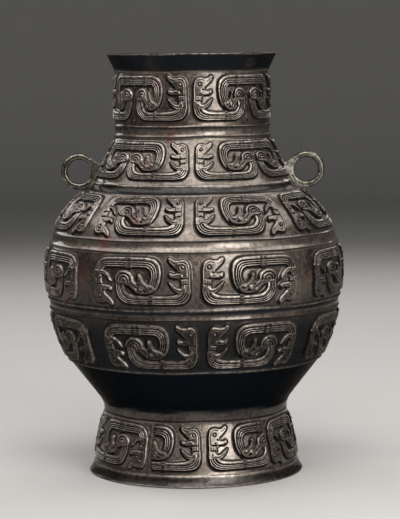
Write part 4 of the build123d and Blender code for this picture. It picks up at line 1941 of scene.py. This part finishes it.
@dataclass(frozen=True)
class CastCopy:
    """A soft, worn copy of a CAD solid, for a ring handle or a run of solder."""

    name: str
    node: str
    slot: Slot
    voxel: float
    smoothing: int
    lumps: Points
    worn_curve: float = 1.0
    crust: float = 0.0
    crust_reach: float = 15.0
    crust_start: float = 1.2
    eye: Span | None = None
    face_edges: Span = (11.5, 14.3)
    edge_reach: float = 0.4
    edge_share: float = 0.6
    dirt_share: float = 0.5
    weld: float = 0.005
    softness: float = 0.5
    phases: tuple[float, float, float] = (0.3, 1.7, 4.1)

    def build(self, finish: Material) -> Object:
        """Remeshes a copy of the node, softens its edges and gives it the lumps of a hand casting.

        Args:
            finish: the material.

        Returns:
            The copy as one object with a plain mesh.
        """
        mesh = frame["nodes"][self.node].data.copy()
        mesh.materials.clear()
        edited = bmesh.new()
        edited.from_mesh(mesh)
        bmesh.ops.remove_doubles(edited, verts=edited.verts, dist=self.weld * MM)
        edited.to_mesh(mesh)
        edited.free()
        piece = linked(self.name, mesh)
        remesh = piece.modifiers.new("cast_skin", "REMESH")
        remesh.mode, remesh.voxel_size = "VOXEL", self.voxel * MM
        soften = piece.modifiers.new("worn_edges", "SMOOTH")
        soften.factor, soften.iterations = self.softness, self.smoothing
        keep_evaluated(piece)
        mesh = piece.data
        spots = triples(mesh.vertices, "co")
        rise = sum(
            height * np.sin(spots / (size * MM) * math.pi + np.array(self.phases) * number).prod(axis=1)
            for number, (size, height) in enumerate(self.lumps, start=1)
        )
        moved = spots + triples(mesh.vertices, "normal") * rise[:, None] * MM
        mesh.vertices.foreach_set("co", moved.astype(np.float32).ravel())
        out = np.hypot(spots[:, 0], spots[:, 1]) / MM
        crust = self.crust * smooth_share(self.crust_start - (out - out.min()) / self.crust_reach)
        level = rise / max(height for _, height in self.lumps)
        rubbed = np.clip(level, 0, 1) * self.worn_curve
        paint(mesh, StainAndPaintedLight.WEAR, np.maximum.reduce([rubbed, crust, self.edge_wear(spots)]))
        paint(mesh, StainAndPaintedLight.DIRT, np.clip(-level, 0, 1) * self.dirt_share)
        mesh.materials.clear()
        mesh.materials.append(finish)
        mesh.polygons.foreach_set("use_smooth", np.ones(len(mesh.polygons), bool))
        mesh.update()
        return piece

    def edge_wear(self, spots: np.ndarray) -> np.ndarray:
        """Wear along both edges of a ring's face, or none on a piece that is no ring.

        Args:
            spots: the places, in metres.

        Returns:
            The wear at each spot.
        """
        if self.eye is None:
            return np.zeros(len(spots))
        out = np.hypot(np.abs(spots[:, 0]) / MM - self.eye[0], spots[:, 2] / MM - self.eye[1])
        away = np.min([np.abs(out - edge) for edge in self.face_edges], axis=0)
        return self.edge_share * bell(away / self.edge_reach)


RING_EYE = (97.73, 259.42)
RINGS = tuple(
    CastCopy(f"shoulder_ring_{side}", f"ring_handle_{side}", Slot.OLIVE_BRONZE, voxel=0.42, smoothing=2,
             lumps=((9.0, 0.08), (3.5, 0.04)), worn_curve=0.4, crust=crust, eye=RING_EYE)
    for side, crust in (("right", 1.0), ("left", 0.4))
)
SOLDERS = tuple(
    CastCopy(f"root_solder_{side}", f"handle_solder_{side}", Slot.OLD_SOLDER, voxel=0.4, smoothing=3,
             lumps=((6.0, 0.3), (2.4, 0.14)))
    for side in ("right", "left")
)


# The studio


@dataclass(frozen=True)
class SoftBox:
    """A soft area lamp: where it stands round the vessel, its size, its brightness and its tint."""

    name: str
    turn: float
    rise: float
    away: float
    size: Span
    watts: float
    tint: tuple[float, float, float] = (1.0, 0.98, 0.95)

    def build(self, target: Vector) -> None:
        """Puts the lamp in the scene, facing the vessel.

        Args:
            target: the point that it faces.
        """
        lamp = bpy.data.lights.new(self.name, "AREA")
        lamp.shape, lamp.size, lamp.size_y = "RECTANGLE", *self.size
        lamp.energy, lamp.color = self.watts, self.tint
        turn, rise = math.radians(self.turn), math.radians(self.rise)
        spot = Vector((math.cos(rise) * math.sin(turn), -math.cos(rise) * math.cos(turn), math.sin(rise)))
        made = linked(self.name, lamp)
        made.location = target + spot * self.away
        made.rotation_euler = spot.to_track_quat("Z", "Y").to_euler()


@dataclass(frozen=True)
class Studio:
    """Pale floor, soft lamps and the camera, with the image taken as 400 x 519 pixels."""

    image: tuple[int, int] = (400, 519)
    sensor: float = 36.0
    focal_pixels: float = 2083.0
    eye: tuple[float, float, float] = (0.0, -1.793, 0.360)
    pitch: float = -5.667
    yaw: float = -0.170
    roll: float = -0.65
    floor_color: Color = (0.42, 0.413, 0.403, 1)
    floor_fleck: float = 0.94
    fleck_size: float = 60.0
    floor_roughness: float = 0.85
    floor_rings: tuple[float, float, float] = (0.2, 0.9, 1.0)
    world_color: Color = (0.9, 0.95, 1.0, 1)
    world_strength: float = 0.06
    floor_radius: float = 3.2
    sweep_radius: float = 1.2
    wall_height: float = 2.6
    wall_sides: int = 72
    sweep_steps: int = 12
    lamps: Sequence[SoftBox] = (
        SoftBox("key_front_right", 30, 17, 1.6, (0.85, 1.1), 21.0),
        SoftBox("front_fill", -10, 46, 1.6, (1.2, 0.75), 14.5),
        SoftBox("overhead", -8, 76, 1.35, (0.9, 0.7), 8.0, (1.0, 0.985, 0.97)),
        SoftBox("high_left", -92, 52, 1.5, (1.0, 0.9), 9.0),
        SoftBox("high_right", 92, 52, 1.5, (1.0, 0.9), 9.0),
        SoftBox("back_left", -142, 26, 1.7, (0.7, 1.0), 6.5, (0.98, 0.99, 1.0)),
        SoftBox("back_right", 160, 32, 1.7, (0.9, 0.9), 8.0),
    )

    def build(self) -> None:
        """Builds the floor, the lamps, the world and the camera."""
        self.floor()
        low, high = cad_box
        middle = (low + high) / 2
        for lamp in self.lamps:
            lamp.build(middle)
        world = bpy.data.worlds.new("soft_room")
        world.use_nodes = True
        tree = world.node_tree
        feed(tree, tree.nodes["Background"], {"Color": self.world_color, "Strength": self.world_strength})
        scene = bpy.context.scene
        scene.world = world
        scene.view_settings.view_transform = "Standard"
        camera = bpy.data.cameras.new("camera")
        camera.sensor_width = self.sensor
        camera.lens = self.focal_pixels / max(self.image) * self.sensor
        holder = linked("camera", camera)
        turned = Matrix.Rotation(math.radians(self.yaw), 4, "Z")
        tipped = Matrix.Rotation(math.radians(QUARTER + self.pitch), 4, "X")
        rolled = Matrix.Rotation(math.radians(self.roll), 4, "Z")
        holder.matrix_world = Matrix.Translation(self.eye) @ turned @ tipped @ rolled
        scene.camera = holder

    def floor(self) -> None:
        """The round pale floor, which sweeps up into a wall far outside the lamps."""
        rings = [(self.floor_radius * share, 0.0) for share in self.floor_rings]
        for angle in np.linspace(0, math.pi / 2, self.sweep_steps + 1)[1:]:
            rings.append((self.floor_radius + self.sweep_radius * math.sin(angle),
                          self.sweep_radius * (1 - math.cos(angle))))
        rings.append((rings[-1][0], self.wall_height))
        sides = self.wall_sides
        turns = np.linspace(0, TURN, sides, endpoint=False)
        spots = [(r * math.cos(turn), r * math.sin(turn), z) for r, z in rings for turn in turns]
        faces = [tuple(range(sides))]
        faces += [(low + n, low + sides + n, low + sides + (n + 1) % sides, low + (n + 1) % sides)
                  for low in range(0, sides * (len(rings) - 1), sides) for n in range(sides)]
        mesh = bpy.data.meshes.new("studio_floor")
        mesh.from_pydata(spots, [], faces)
        mesh.polygons.foreach_set("use_smooth", np.ones(len(faces), bool))
        paper = bpy.data.materials.new("pale_floor")
        paper.use_nodes = True
        tree = paper.node_tree
        shade = (*(part * self.floor_fleck for part in self.floor_color[:3]), 1)
        flecks = noise(tree, object_spot(tree), self.fleck_size)
        feed(tree, tree.nodes["Principled BSDF"], {
            "Base Color": blend(tree, flecks, self.floor_color, shade), "Roughness": self.floor_roughness,
        })
        mesh.materials.append(paper)
        linked("studio_floor", mesh)


def seat(piece: Object, slot: Slot, *nodes: str) -> None:
    """Hands a finished piece to the frame and reports it.

    Args:
        piece: the piece.
        slot: the record's slot that its finish belongs to.
        nodes: the CAD nodes that it stands for, if any.
    """
    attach(piece, ROOT)
    if nodes:
        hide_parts(*nodes)
    triangles = sum(len(face.vertices) - 2 for face in piece.data.polygons)
    LOG.info("%s: %d triangles, slot %s, replaces %s", piece.name, triangles, slot.value, nodes or "nothing")


def main() -> None:
    """Builds the studio, the castings, the friezes, the rings and the solder, in that order."""
    logging.basicConfig(level=logging.INFO, format="%(name)s %(message)s")
    Studio().build()
    makers = {"mottle": Mottle(), "wear": DirtWearAndShade(), "bloom": Bloom(), "grain": Grain()}
    groups = {name: maker.tree() for name, maker in makers.items()}
    finishes = (WALL_BRONZE, RELIEF_BRONZE, RING_BRONZE, INNER_BRONZE, OLD_SOLDER)
    wall, relief, ring, inner, solder = (finish.material(groups) for finish in finishes)
    wrap = wrap_group()
    turning, repeating = turned_tree(wrap), frieze_tree(wrap)
    sizes = VesselSizes()
    body, foot = body_profile(sizes), foot_profile(sizes)
    body_curve, foot_curve = body.curve(), foot.curve()

    # The zones listed last on each casting get a painted highlight across their middles.
    vessel = TurnedCasting(
        "vessel_wall", "vessel_body", body, casting_spacing(body, outside=2.8, inside=6.0), WORN_EDGES,
        DARK_EDGES, BODY_FINS, ("neck_channel", "upper_channel"),
    )
    seat(vessel.build(body_curve, turning, wall, inner), Slot.DARK_BRONZE, vessel.node)
    stand = TurnedCasting(
        "foot_wall", "foot_ring", foot, casting_spacing(foot, outside=2.0, inside=6.0),
        (("border", 0), ("border", 1)), (("foot_band", 1),), FOOT_FINS, ("foot_band",),
    )
    seat(stand.build(foot_curve, turning, wall, inner), Slot.DARK_BRONZE, stand.node)
    for frieze in BODY_FRIEZES:
        seat(frieze.build(body, body_curve, repeating, relief), Slot.DARK_BRONZE)
    seat(FOOT_FRIEZE.build(foot, foot_curve, repeating, relief), Slot.DARK_BRONZE)
    for copy, finish in [(c, ring) for c in RINGS] + [(c, solder) for c in SOLDERS]:
        seat(copy.build(finish), copy.slot, copy.node)
    for node, finish in (("base_plate", inner), ("base_solder_seam", solder), ("foot_solder_seam", solder)):
        frame["nodes"][node].material_slots[0].material = finish
    for curve in (body_curve, foot_curve):
        bpy.data.objects.remove(curve)


if __name__ == "__main__":
    main()
